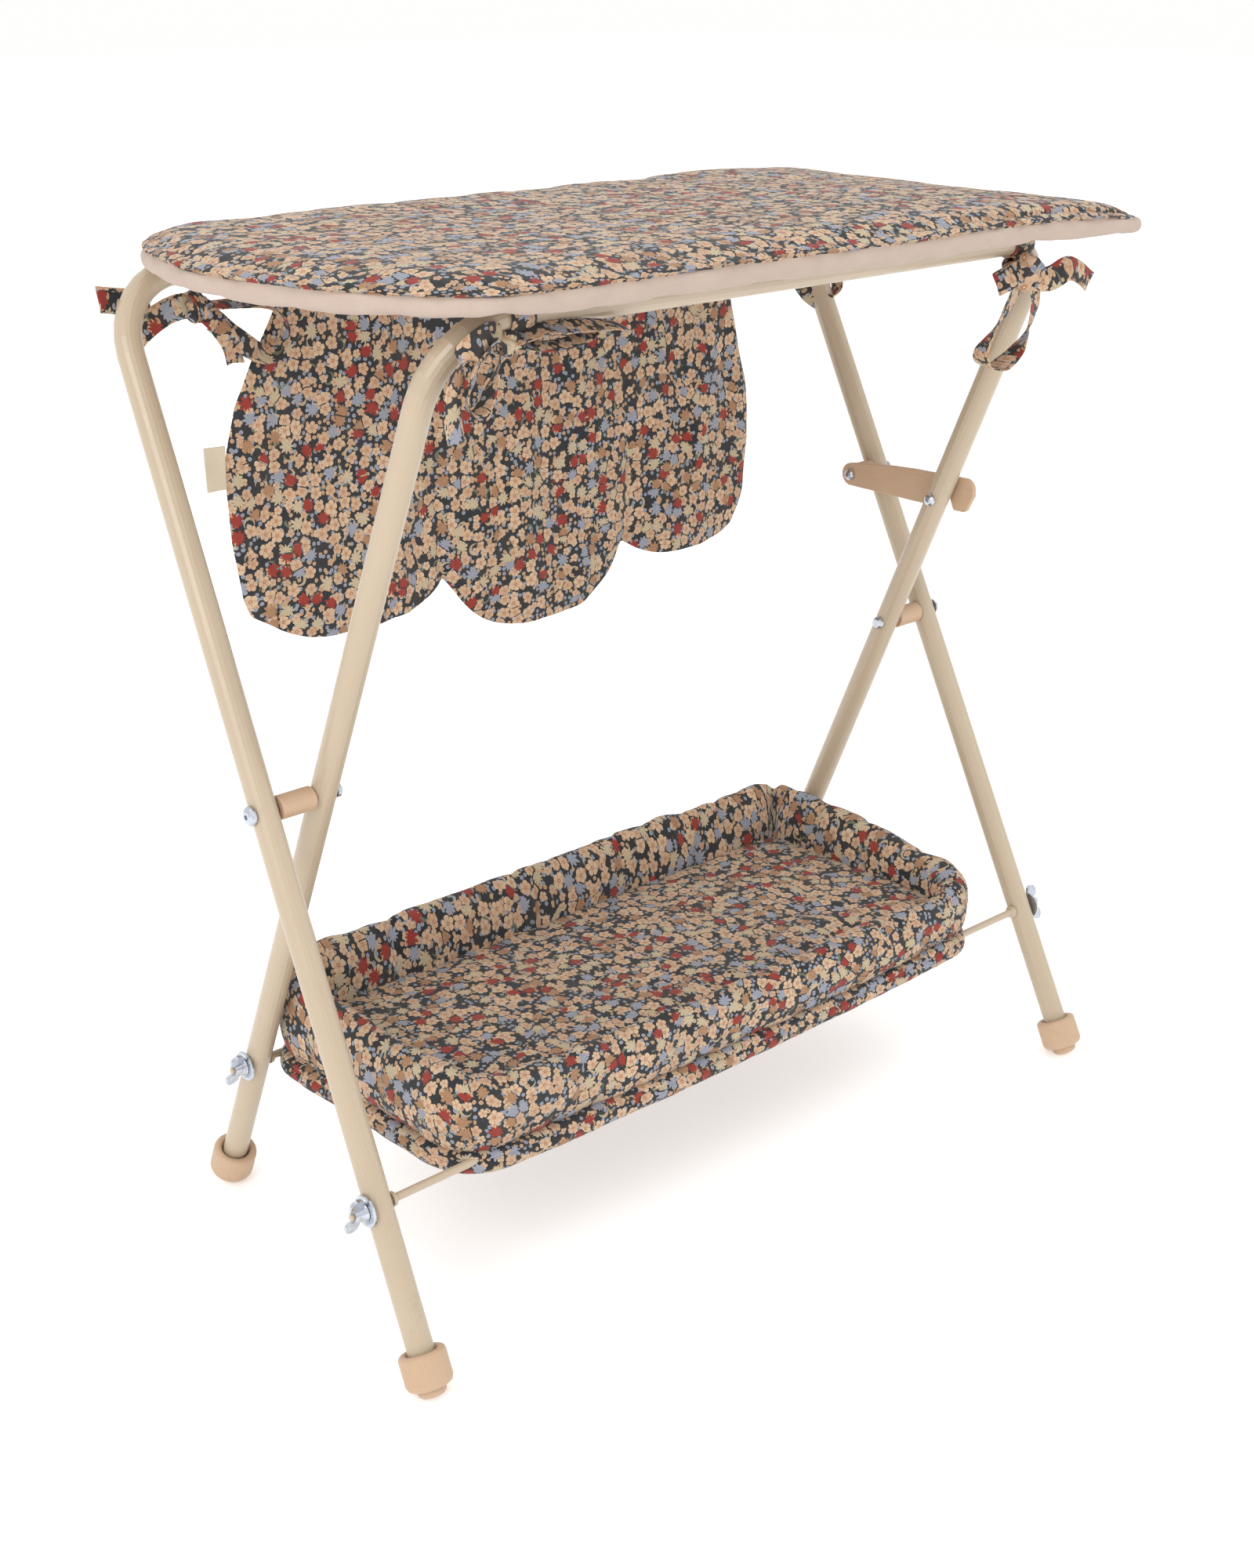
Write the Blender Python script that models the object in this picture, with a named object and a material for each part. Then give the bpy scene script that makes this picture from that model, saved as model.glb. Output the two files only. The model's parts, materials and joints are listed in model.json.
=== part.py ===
"""Doll-size folding changing table: two crossing U-frames with a latch, a padded top, a hanging
organizer and a padded basket slung between two rods. Metres, +Z up.

X runs along the bars, -Y is the front, and the origin is on the floor under the fold axis.
"""
import math

import bmesh
import bpy
from mathutils import Matrix, Vector

GAP = 0.0003            # clearance between touching pieces
TUBE_R = 0.008
TUBE_WALL = 0.0011
TUBE_SIDES = 20
BEND_R = 0.046
HOLE_TWIST = 0.13       # keeps the facets of a drilled hole off those of the tube
BEND_STEPS = 8

# The fold axis is the line y = 0, z = PIVOT_Z.
PIVOT_Z = 0.308
BAR_Z = 0.589
OUTER_HALF = 0.2872     # centre of the outer frame's legs at the fold axis
OUTER_SPLAY = 0.022     # the outer legs spread a little towards the feet
OUTER_LEAN = math.radians(25.7)
INNER_HALF = 0.2469
INNER_SPLAY = 0.0
INNER_LEAN = math.radians(22.6)

FOOT_R = 0.014
FOOT_LENGTH = 0.0265
NUB_R = 0.0085
FOOT_SOCKET_R = TUBE_R + 0.0006
FOOT_SOCKET_FLOOR = 0.008
FOOT_LIFT = 0.0016      # height of the nub's centre, which leaves a small flat on the floor

PIVOT_SPACER_R = 0.0072
BOLT_R = 0.0025
BOLT_HOLE_R = 0.0028
BOLT_HEAD_R = 0.0058
BOLT_HEAD_H = 0.0036
CAP_NUT_R = 0.0043
CAP_NUT_H = 0.0042

ROD_Z = 0.1015
ROD_R = 0.0025
ROD_END_R = 0.002
ROD_HOLE_R = 0.0024
COLLAR_R = 0.0044
COLLAR_T = 0.002
WASHER_R = 0.0096
WASHER_T = 0.0014
WING_HUB_R = 0.0045
WING_HUB_H = 0.0075
WING_LOBE_R = 0.0046
WING_LOBE_T = 0.0022
WING_REACH = 0.0082

LATCH_Z = 0.405
LEVER_T = 0.0036
LEVER_END_R = 0.0082
LEVER_TAB_TOP = 0.42
LEVER_TOP = 0.4192
LEVER_LOW = 0.3962
TAB_FRONT_Y = -0.064
TAB_BACK_Y = -0.0468
LATCH_SPACER_R = 0.0072
LATCH_SCREW_R = 0.002
LATCH_HOLE_R = 0.0024
LATCH_HEAD_R = 0.0042
LATCH_HEAD_H = 0.0026
PEG_R = 0.003
PEG_CLEAR = 0.0009
FOLD_MAX = math.radians(42)
LATCH_RATIO = 2.2       # the lever's lift for each unit of fold

PAD_LOW = 0.5987
PAD_T = 0.0163
PAD_LEFT = -0.3
PAD_RIGHT = 0.307
PAD_FRONT = -0.1555
PAD_BACK = 0.1562
PAD_EDGE_R = 0.0075
PAD_FLAT_INSET = 0.029
PAD_DROP = 0.005        # the edges hang down past the bars, except at the back
PAD_ARCH = 0.48         # depth of the arched left end, as a share of half the width
PAD_CORNER_R = 0.03

TRAY_HALF = 0.2372
TRAY_FRONT = -0.1085
TRAY_BACK = 0.0975
TRAY_LOW = 0.0915
TRAY_FLANGE_TOP = 0.111
TRAY_WALL_INSET = 0.0045
TRAY_WALL_T = 0.019
TRAY_RIM_Z = 0.156
TRAY_RIM_SLOPE = 0.11   # the rim climbs towards the back
TRAY_FLOOR_Z = 0.124
TRAY_CORNER_R = 0.03
TRAY_ROD_BORE = 0.0032

CLOTH_T = 0.0024
CLOTH_SLEEVE_R = 0.0093
CLOTH_SLEEVE = (-0.166, 0.214)
SNAP_R = 0.0055
SNAP_T = 0.0018
SNAP_Z = 0.556
SNAP_X = (-0.132, -0.088, 0.132, 0.176)
LABEL_SIZE = (0.0145, 0.0008, 0.027)
LABEL_AT = (-0.2135, 0.456)

TIE_T = 0.0007
TIE_W = 0.014
TIE_FRONT_X = 0.192
TIE_BACK_Z = 0.538


def make_material(name, colour, roughness, metallic=0.0):
    mat = bpy.data.materials.new(name)
    mat.use_nodes = True
    shader = mat.node_tree.nodes["Principled BSDF"]
    shader.inputs["Base Color"].default_value = (*colour, 1.0)
    shader.inputs["Roughness"].default_value = roughness
    shader.inputs["Metallic"].default_value = metallic
    mat.diffuse_color = (*colour, 1.0)
    return mat


def add_object(name, bm, material, origin=(0, 0, 0)):
    """Turns a bmesh in world space into an object whose origin is at the given point."""
    bmesh.ops.recalc_face_normals(bm, faces=bm.faces)
    bmesh.ops.translate(bm, verts=bm.verts, vec=-Vector(origin))
    mesh = bpy.data.meshes.new(name)
    bm.to_mesh(mesh)
    bm.free()
    mesh.materials.append(material)
    mesh.shade_smooth()
    mesh.set_sharp_from_angle(angle=math.radians(35))
    obj = bpy.data.objects.new(name, mesh)
    obj.location = origin
    bpy.context.collection.objects.link(obj)
    return obj


def hide_cutter(obj):
    obj.hide_render = True
    obj.hide_set(True)
    obj.display_type = "WIRE"


def boolean(target, tool, operation):
    modifier = target.modifiers.new(operation.lower(), "BOOLEAN")
    modifier.operation = operation
    modifier.solver = "EXACT"
    modifier.object = tool
    hide_cutter(tool)


def turned(profile, sides, frame):
    """A solid of revolution about the local Z axis; the profile is (radius, height) points.

    An open profile starts and ends on the axis; a ring's profile is closed and stays off it.
    """
    bm = bmesh.new()
    ring_shaped = profile[0][0] > 0
    rings = []
    for radius, height in profile:
        if radius <= 0:
            rings.append([bm.verts.new((0, 0, height))])
            continue
        turn = [2 * math.pi * i / sides for i in range(sides)]
        rings.append([bm.verts.new((radius * math.cos(a), radius * math.sin(a), height)) for a in turn])
    pairs = list(zip(rings, rings[1:]))
    if ring_shaped:
        pairs.append((rings[-1], rings[0]))
    for low, high in pairs:
        for i in range(sides):
            j = (i + 1) % sides
            corners = [low[i % len(low)], low[j % len(low)], high[j % len(high)], high[i % len(high)]]
            bm.faces.new(list(dict.fromkeys(corners)))
    bmesh.ops.transform(bm, matrix=frame, verts=bm.verts)
    return bm


def along_x(x, y, z, outward=1):
    """A frame at a point whose local Z axis runs along +X, or along -X when outward is -1."""
    return Matrix.Translation((x, y, z)) @ Matrix.Rotation(outward * math.pi / 2, 4, "Y")


def rounded(radius, height, corner, steps=3):
    """Profile points of a rounded outer corner that ends a cylinder at the given height."""
    points = []
    for i in range(steps + 1):
        a = math.pi / 2 * i / steps
        points.append((radius - corner + corner * math.cos(a), height - corner + corner * math.sin(a)))
    return points


def cylinder_x(x0, x1, y, z, radius, sides=16):
    length = x1 - x0
    profile = [(0, 0), (radius, 0), (radius, length), (0, length)]
    return turned(profile, sides, along_x(x0, y, z) @ Matrix.Rotation(HOLE_TWIST, 4, "Z"))


def box(low, high):
    bm = bmesh.new()
    bmesh.ops.create_cube(bm, size=1)
    size = [b - a for a, b in zip(low, high)]
    middle = [(a + b) / 2 for a, b in zip(low, high)]
    bmesh.ops.scale(bm, vec=size, verts=bm.verts)
    bmesh.ops.translate(bm, vec=middle, verts=bm.verts)
    return bm


def sweep_rings(bm, path, radius, sides):
    """Rings of vertices square to a path; the ring's first axis stays square to the path's plane."""
    plane_normal = (path[1] - path[0]).cross(path[-1] - path[0]).normalized()
    rings = []
    for i, point in enumerate(path):
        ahead = path[min(i + 1, len(path) - 1)] - point
        behind = point - path[max(i - 1, 0)]
        along = (ahead.normalized() + behind.normalized()).normalized()
        side = along.cross(plane_normal)
        ring = []
        for k in range(sides):
            a = 2 * math.pi * k / sides
            ring.append(bm.verts.new(point + radius * (math.cos(a) * plane_normal + math.sin(a) * side)))
        rings.append(ring)
    return rings


def tube(path, outer_r, inner_r, sides):
    """An open-ended hollow tube swept along a plane path."""
    bm = bmesh.new()
    outside = sweep_rings(bm, path, outer_r, sides)
    inside = sweep_rings(bm, path, inner_r, sides)
    for rings in (outside, inside):
        for a, b in zip(rings, rings[1:]):
            for k in range(sides):
                n = (k + 1) % sides
                bm.faces.new((a[k], a[n], b[n], b[k]))
    for end in (0, -1):
        for k in range(sides):
            n = (k + 1) % sides
            bm.faces.new((outside[end][k], outside[end][n], inside[end][n], inside[end][k]))
    return bm


def fillet(before, corner, after, radius, steps):
    """Points of an arc that rounds a corner of a path."""
    a = (before - corner).normalized()
    b = (after - corner).normalized()
    half = a.angle(b) / 2
    centre = corner + (a + b).normalized() * (radius / math.sin(half))
    start = corner + a * (radius / math.tan(half)) - centre
    sweep = math.pi - 2 * half
    axis = b.cross(a).normalized()
    return [centre + Matrix.Rotation(sweep * i / steps, 3, axis) @ start for i in range(steps + 1)]


class Frame:
    """One U-frame: its legs lean by `lean` towards `top_side` (+1 back, -1 front) as they rise."""

    def __init__(self, half, splay, lean, top_side):
        self.half = half
        self.splay = splay
        self.tan = math.tan(lean) * top_side

    def leg(self, side, z):
        """The centre of the left (-1) or right (+1) leg at a height."""
        x = side * (self.half + self.splay * (PIVOT_Z - z))
        return Vector((x, self.tan * (z - PIVOT_Z), z))

    def up(self, side):
        return (self.leg(side, BAR_Z) - self.leg(side, 0)).normalized()

    def foot_base(self, side):
        return self.leg(side, FOOT_LIFT)

    def path(self):
        start = FOOT_SOCKET_FLOOR + 0.0005
        left = self.foot_base(-1) + self.up(-1) * start
        right = self.foot_base(1) + self.up(1) * start
        left_top = self.leg(-1, BAR_Z)
        right_top = self.leg(1, BAR_Z)
        points = [left]
        points += fillet(left, left_top, right_top, BEND_R, BEND_STEPS)
        points += fillet(left_top, right_top, right, BEND_R, BEND_STEPS)
        points.append(right)
        return points


OUTER = Frame(OUTER_HALF, OUTER_SPLAY, OUTER_LEAN, 1)
INNER = Frame(INNER_HALF, INNER_SPLAY, INNER_LEAN, -1)
LATCH_Y = OUTER.leg(1, LATCH_Z).y
PEG_Y = INNER.leg(1, LATCH_Z).y
OUTER_LATCH_X = OUTER.leg(1, LATCH_Z).x
LEVER_X0 = INNER_HALF + TUBE_R + 2 * GAP
LEVER_X1 = LEVER_X0 + LEVER_T


def drill(target, holes):
    """Cuts round holes along X, each given as (start, end, y, z, radius)."""
    bits = bmesh.new()
    for x0, x1, y, z, radius in holes:
        scratch = bpy.data.meshes.new("bit")
        bit = cylinder_x(x0, x1, y, z, radius)
        bit.to_mesh(scratch)
        bit.free()
        bits.from_mesh(scratch)
        bpy.data.meshes.remove(scratch)
    boolean(target, add_object("cut_" + target.name, bits, MATERIALS["zinc"]), "DIFFERENCE")


def frame_tube(name, frame, extra_holes):
    """The bent tube with its pivot, rod and latch holes drilled across the legs."""
    origin = (0, 0, PIVOT_Z)
    obj = add_object(name, tube(frame.path(), TUBE_R, TUBE_R - TUBE_WALL, TUBE_SIDES), MATERIALS["steel"], origin)
    reach = TUBE_R * 1.3
    both = [(side, z, radius) for side in (-1, 1) for z, radius in ((PIVOT_Z, BOLT_HOLE_R), (ROD_Z, ROD_HOLE_R))]
    holes = []
    for side, z, radius in both + [(1, z, radius) for z, radius in extra_holes]:
        leg = frame.leg(side, z)
        holes.append((leg.x - reach, leg.x + reach, leg.y, leg.z, radius))
    drill(obj, holes)


def foot(name, frame, side):
    """A moulded cup foot with a domed nub, cut flat where it meets the floor."""
    nub = [(0, 0), (NUB_R - 0.0042, 0.0002), (NUB_R - 0.0018, 0.0008), (NUB_R - 0.0004, 0.002), (NUB_R, 0.0034)]
    base = [(NUB_R, 0.0052), (FOOT_R - 0.003, 0.0056), (FOOT_R - 0.001, 0.0068), (FOOT_R, 0.0092)]
    rim = rounded(FOOT_R, FOOT_LENGTH, 0.0026)
    lip = [(FOOT_SOCKET_R + 0.0012, FOOT_LENGTH - 0.0004), (FOOT_SOCKET_R, FOOT_LENGTH - 0.0022)]
    socket = [(FOOT_SOCKET_R, FOOT_SOCKET_FLOOR), (0, FOOT_SOCKET_FLOOR)]
    turn = frame.up(side).to_track_quat("Z", "X").to_matrix().to_4x4()
    base_point = frame.foot_base(side)
    bm = turned(nub + base + rim + lip + socket, 24, Matrix.Translation(base_point) @ turn)
    everything = bm.verts[:] + bm.edges[:] + bm.faces[:]
    bmesh.ops.bisect_plane(bm, geom=everything, plane_co=(0, 0, 0), plane_no=(0, 0, 1), clear_inner=True)
    bmesh.ops.holes_fill(bm, edges=bm.edges)
    return add_object(name, bm, MATERIALS["plastic"])


def pivot(side, label):
    """The spacer, bolt and cap nut that join the two legs on one side."""
    inner_face = INNER_HALF + TUBE_R
    outer_face = OUTER_HALF - TUBE_R
    spacer_x0 = inner_face + GAP
    spacer_x1 = outer_face - 2 * GAP
    length = spacer_x1 - spacer_x0
    profile = [(BOLT_HOLE_R, 0), (PIVOT_SPACER_R - 0.0006, 0), (PIVOT_SPACER_R, 0.0006)]
    profile += [(PIVOT_SPACER_R, length - 0.0006), (PIVOT_SPACER_R - 0.0006, length), (BOLT_HOLE_R, length)]
    start = (0, 0, PIVOT_Z)
    bm = turned(profile, 24, along_x(side * spacer_x0, 0, PIVOT_Z, side))
    add_object("pivot_spacer_" + label, bm, MATERIALS["plastic"], start)

    head_x = OUTER_HALF + TUBE_R + 2 * GAP
    nut_x = INNER_HALF - TUBE_R - GAP
    shank = head_x - nut_x + CAP_NUT_H * 0.5
    profile = [(0, -shank), (BOLT_R, -shank), (BOLT_R, 0), (BOLT_HEAD_R, 0), (BOLT_HEAD_R, 0.0012)]
    profile += [(BOLT_HEAD_R * 0.86, BOLT_HEAD_H * 0.75), (BOLT_HEAD_R * 0.5, BOLT_HEAD_H), (BOLT_R * 0.6, BOLT_HEAD_H)]
    profile += [(BOLT_R * 0.6, BOLT_HEAD_H * 0.5), (0, BOLT_HEAD_H * 0.5)]
    bm = turned(profile, 16, along_x(side * head_x, 0, PIVOT_Z, side))
    add_object("pivot_bolt_" + label, bm, MATERIALS["zinc"], start)

    bore = BOLT_R + GAP
    profile = [(bore, 0), (CAP_NUT_R, 0), (CAP_NUT_R, CAP_NUT_H * 0.55), (CAP_NUT_R * 0.7, CAP_NUT_H * 0.9)]
    profile = [(0, CAP_NUT_H * 0.62), (bore, CAP_NUT_H * 0.62)] + profile + [(0, CAP_NUT_H)]
    bm = turned(profile, 16, along_x(side * nut_x, 0, PIVOT_Z, -side))
    add_object("pivot_cap_nut_" + label, bm, MATERIALS["zinc"], start)


def rod(name, frame):
    """A round rod across the legs: shoulders inside them, thinner threaded ends through them."""
    leg = frame.leg(1, ROD_Z)
    shoulder = leg.x - TUBE_R - 2 * GAP
    tip = leg.x + TUBE_R + 2 * GAP + WASHER_T + GAP + WING_HUB_H + 0.0016
    profile = [(ROD_R, shoulder - COLLAR_T - 0.0012), (COLLAR_R, shoulder - COLLAR_T), (COLLAR_R, shoulder)]
    profile += [(ROD_END_R, shoulder), (ROD_END_R, tip - 0.0005), (ROD_END_R - 0.0005, tip), (0, tip)]
    mirrored = [(r, -x) for r, x in reversed(profile)]
    bm = turned(mirrored + profile, 14, along_x(0, leg.y, ROD_Z))
    add_object(name, bm, MATERIALS["steel"], (0, leg.y, ROD_Z))


def rod_end(frame, side, label, turn):
    """The washer and the wing nut outside one leg."""
    leg = frame.leg(side, ROD_Z)
    face = side * (abs(leg.x) + TUBE_R + 2 * GAP)
    profile = [(ROD_HOLE_R, 0), (WASHER_R, 0), (WASHER_R, WASHER_T * 0.6), (WASHER_R - 0.0008, WASHER_T)]
    bm = turned(profile + [(ROD_HOLE_R, WASHER_T)], 28, along_x(face, leg.y, ROD_Z, side))
    add_object("washer_" + label, bm, MATERIALS["zinc"], (face, leg.y, ROD_Z))

    nut_x = face + side * (WASHER_T + GAP)
    place = along_x(nut_x, leg.y, ROD_Z, side)
    profile = [(ROD_HOLE_R, 0), (WING_HUB_R + 0.0012, 0), (WING_HUB_R, 0.003), (WING_HUB_R * 0.84, WING_HUB_H)]
    hub = add_object("wing_nut_" + label, turned(profile + [(ROD_HOLE_R, WING_HUB_H)], 20, place),
                     MATERIALS["zinc"], (nut_x, leg.y, ROD_Z))
    for wing in (0, math.pi):
        lobe = lobe_mesh()
        bmesh.ops.transform(lobe, matrix=place @ Matrix.Rotation(wing + turn, 4, "Z"), verts=lobe.verts)
        boolean(hub, add_object("cut_wing", lobe, MATERIALS["zinc"]), "UNION")
    return hub


def lobe_mesh():
    """One ear of a wing nut: a flat rounded tongue that leans outwards from the hub."""
    bm = bmesh.new()
    root = WING_HUB_R * 0.72
    outline = [(root, 0.0012)]
    for i in range(11):
        a = math.radians(-70 + 200 * i / 10)
        outline.append((WING_REACH + WING_LOBE_R * math.cos(a), 0.0066 + WING_LOBE_R * math.sin(a)))
    outline.append((root, 0.0062))
    half = WING_LOBE_T / 2
    faces = [[bm.verts.new((x, y, z)) for x, z in outline] for y in (-half, half)]
    for loop in faces:
        bm.faces.new(loop)
    for i in range(len(outline)):
        j = (i + 1) % len(outline)
        bm.faces.new((faces[0][i], faces[0][j], faces[1][j], faces[1][i]))
    return bm


def peg_on_lever(fold):
    """The catch peg's place in the lever's own frame after the inner frame folds by an angle."""
    dy, dz = PEG_Y, LATCH_Z - PIVOT_Z
    y = dy * math.cos(fold) + dz * math.sin(fold) - LATCH_Y
    z = -dy * math.sin(fold) + dz * math.cos(fold) + PIVOT_Z - LATCH_Z
    lift = LATCH_RATIO * fold
    return (LATCH_Y + y * math.cos(lift) - z * math.sin(lift),
            LATCH_Z + y * math.sin(lift) + z * math.cos(lift))


def arc(cy, cz, radius, start, stop, steps):
    """Points on an arc in the YZ plane, angles in degrees from +Y towards +Z."""
    angles = [math.radians(start + (stop - start) * i / steps) for i in range(steps + 1)]
    return [(cy + radius * math.cos(a), cz + radius * math.sin(a)) for a in angles]


def lever_outline():
    """The latch lever seen along X: a round end, a crowned bar, a finger tab and an open notch."""
    points = arc(LATCH_Y, LATCH_Z, LEVER_END_R, -80, 84, 8)
    crown = [(0.025, 0.416), (0.008, 0.4176), (-0.012, 0.4188), (-0.03, LEVER_TOP)]
    tab = arc(TAB_FRONT_Y + 0.008, LEVER_TAB_TOP - 0.008, 0.008, 100, 170, 4)
    tab += [(TAB_FRONT_Y, 0.4085)]
    tab += arc(TAB_FRONT_Y + 0.0085, LEVER_LOW + 0.004, 0.004, 190, 265, 3)
    tab += [(TAB_BACK_Y - 0.001, LEVER_LOW), (TAB_BACK_Y, LEVER_LOW + 0.001)]
    room = PEG_R + PEG_CLEAR
    ceiling = arc(PEG_Y, LATCH_Z, room, 180, 30, 6)
    exit_walls = []
    for fold in (0.03, 0.06, 0.085):
        y, z = peg_on_lever(fold)
        exit_walls.append((y + room * math.cos(0.65), z + room * math.sin(0.65)))
    mouth = [(p[0], max(p[1], LEVER_LOW)) for p in exit_walls]
    low_edge = [(-0.008, LEVER_LOW), (0.02, LEVER_LOW + 0.0004)]
    return points + crown + tab + [(PEG_Y - room, LATCH_Z - 0.002)] + ceiling + mouth + low_edge


def slab_x(outline, x0, x1):
    """An outline in the YZ plane, extruded along X."""
    bm = bmesh.new()
    loops = [[bm.verts.new((x, y, z)) for y, z in outline] for x in (x0, x1)]
    for loop in loops:
        bm.faces.new(loop)
    for i in range(len(outline)):
        j = (i + 1) % len(outline)
        bm.faces.new((loops[0][i], loops[0][j], loops[1][j], loops[1][i]))
    return bm


def latch():
    axis = (LEVER_X0, LATCH_Y, LATCH_Z)
    lever = add_object("latch_lever", slab_x(lever_outline(), LEVER_X0, LEVER_X1), MATERIALS["plastic"], axis)
    drill(lever, [(LEVER_X0 - 0.002, LEVER_X1 + 0.002, LATCH_Y, LATCH_Z, LATCH_HOLE_R)])
    edge = lever.modifiers.new("edge", "BEVEL")
    edge.width = 0.0005
    edge.segments = 1
    edge.limit_method = "ANGLE"
    edge.angle_limit = math.radians(60)

    outer_face = OUTER_LATCH_X - TUBE_R
    length = outer_face - 2 * GAP - (LEVER_X1 + GAP)
    profile = [(LATCH_HOLE_R, 0), (LATCH_SPACER_R, 0), (LATCH_SPACER_R, length), (LATCH_HOLE_R, length)]
    bm = turned(profile, 20, along_x(LEVER_X1 + GAP, LATCH_Y, LATCH_Z))
    add_object("latch_spacer", bm, MATERIALS["plastic"], axis)

    end = OUTER_LATCH_X + TUBE_R + 2 * GAP
    screw("latch_screw", LEVER_X0 - GAP, end + 0.002, LATCH_Y)
    profile = [(LATCH_SCREW_R + GAP, 0), (0.0038, 0), (0.0038, 0.0022), (0.0026, 0.0036), (0, 0.0038)]
    profile = [(0, 0.0026), (LATCH_SCREW_R + GAP, 0.0026)] + profile
    bm = turned(profile, 16, along_x(end, LATCH_Y, LATCH_Z))
    add_object("latch_cap_nut", bm, MATERIALS["zinc"], axis)

    sleeve_x = INNER_HALF + TUBE_R + GAP
    screw("catch_screw", INNER_HALF - TUBE_R - GAP, sleeve_x + 0.004, PEG_Y)
    bore = LATCH_SCREW_R + GAP
    profile = [(0, 0.0046), (bore, 0.0046), (bore, 0), (PEG_R, 0), (PEG_R, 0.0062), (PEG_R - 0.0006, 0.0068), (0, 0.0068)]
    bm = turned(profile, 16, along_x(sleeve_x, PEG_Y, LATCH_Z))
    add_object("catch_peg", bm, MATERIALS["zinc"], axis)


def screw(name, head_x, tip_x, y):
    """A domed pan-head screw along +X whose head is on the inner side."""
    length = tip_x - head_x
    profile = [(0, -LATCH_HEAD_H * 0.5), (0.001, -LATCH_HEAD_H * 0.5), (0.0012, -LATCH_HEAD_H)]
    profile += [(LATCH_HEAD_R * 0.6, -LATCH_HEAD_H * 0.95), (LATCH_HEAD_R * 0.92, -LATCH_HEAD_H * 0.6)]
    profile += [(LATCH_HEAD_R, -LATCH_HEAD_H * 0.2), (LATCH_HEAD_R, 0), (LATCH_SCREW_R, 0)]
    profile += [(LATCH_SCREW_R, length), (0, length)]
    bm = turned(profile, 16, along_x(head_x, y, LATCH_Z))
    add_object(name, bm, MATERIALS["zinc"], (head_x, y, LATCH_Z))


def loft(outlines):
    """Joins a stack of equal-count loops into a solid whose first and last loops are capped."""
    bm = bmesh.new()
    rings = [[bm.verts.new(p) for p in loop] for loop in outlines]
    count = len(rings[0])
    for a, b in zip(rings, rings[1:]):
        for i in range(count):
            j = (i + 1) % count
            bm.faces.new((a[i], a[j], b[j], b[i]))
    bm.faces.new(rings[0])
    bm.faces.new(rings[-1])
    return bm


def pad_outline(inset):
    """Plan of the padded top: an arched left end and two tight right corners."""
    left, right = PAD_LEFT + inset, PAD_RIGHT - inset
    front, back = PAD_FRONT + inset, PAD_BACK - inset
    radius = PAD_CORNER_R - min(inset, PAD_CORNER_R * 0.7)
    points = []
    for cy, start in ((front + radius, -90), (back - radius, 0)):
        for i in range(5):
            a = math.radians(start + 22.5 * i)
            points.append((right - radius + radius * math.cos(a), cy + radius * math.sin(a)))
    half = (back - front) / 2
    reach = half * PAD_ARCH
    steps = 22
    for i in range(steps + 1):
        a = math.radians(90 + 180 * i / steps)
        points.append((left + reach + reach * math.cos(a), (front + back) / 2 + half * math.sin(a)))
    return points


def pad_drop(y):
    """How far the pad's edge hangs below its middle: nothing along the back bar."""
    return PAD_DROP * min(max((0.1 - y) / 0.06, 0), 1)


def changing_pad():
    stack = []
    edge = PAD_EDGE_R
    sections = ((PAD_FLAT_INSET, 0, 0), (edge, 0, 1), (edge * 0.2, 0.2, 1), (0, 0.45, 1))
    sections += ((edge * 0.2, 0.7, 1), (edge, 0.9, 1), (PAD_FLAT_INSET, 1, 0))
    for inset, share, drop in sections:
        z = PAD_LOW + PAD_T * share
        stack.append([(x, y, z - drop * pad_drop(y)) for x, y in pad_outline(inset)])
    add_object("changing_pad", loft(stack), MATERIALS["print"])


def tray_outline(inset, z, tilt=0.0):
    """A rounded rectangle around the basket; tilt lifts it towards the back."""
    radius = max(TRAY_CORNER_R - inset, 0.004)
    half = TRAY_HALF - inset
    front, back = TRAY_FRONT + inset, TRAY_BACK - inset
    corners = ((half, front, -90), (half, back, 0), (-half, back, 90), (-half, front, 180))
    points = []
    for cx, cy, start in corners:
        x0 = cx - math.copysign(radius, cx)
        y0 = cy + (radius if cy == front else -radius)
        for i in range(7):
            a = math.radians(start + 15 * i)
            y = y0 + radius * math.sin(a)
            points.append((x0 + radius * math.cos(a), y, z + tilt * y))
    return points


def basket():
    wall = TRAY_WALL_INSET
    thick = TRAY_WALL_T
    slope = TRAY_RIM_SLOPE
    stack = [
        tray_outline(0.006, TRAY_LOW),
        tray_outline(0, TRAY_LOW + 0.006),
        tray_outline(0, TRAY_FLANGE_TOP - 0.005),
        tray_outline(0.004, TRAY_FLANGE_TOP),
        tray_outline(wall, TRAY_FLANGE_TOP + 0.002),
        tray_outline(wall, TRAY_RIM_Z - 0.007, slope),
        tray_outline(wall + 0.005, TRAY_RIM_Z, slope),
        tray_outline(wall + thick - 0.005, TRAY_RIM_Z, slope),
        tray_outline(wall + thick, TRAY_RIM_Z - 0.007, slope),
        tray_outline(wall + thick + 0.002, TRAY_FLOOR_Z + 0.006),
        tray_outline(wall + thick + 0.012, TRAY_FLOOR_Z),
    ]
    tray = add_object("basket", loft(stack), MATERIALS["print"])
    drill(tray, [(-0.26, 0.26, frame.leg(1, ROD_Z).y, ROD_Z, TRAY_ROD_BORE) for frame in (OUTER, INNER)])


def scallop(x0, x1, ends_z, low_z, steps=8):
    """The rounded lower edge of one organizer pocket, from left to right."""
    points = []
    for i in range(steps):
        t = i / steps
        x = x0 + (x1 - x0) * t
        edge = ends_z[0] + (ends_z[1] - ends_z[0]) * t
        sag = 1 - (2 * t - 1) ** 4
        points.append((x, edge + (low_z - edge) * sag))
    return points


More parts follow.
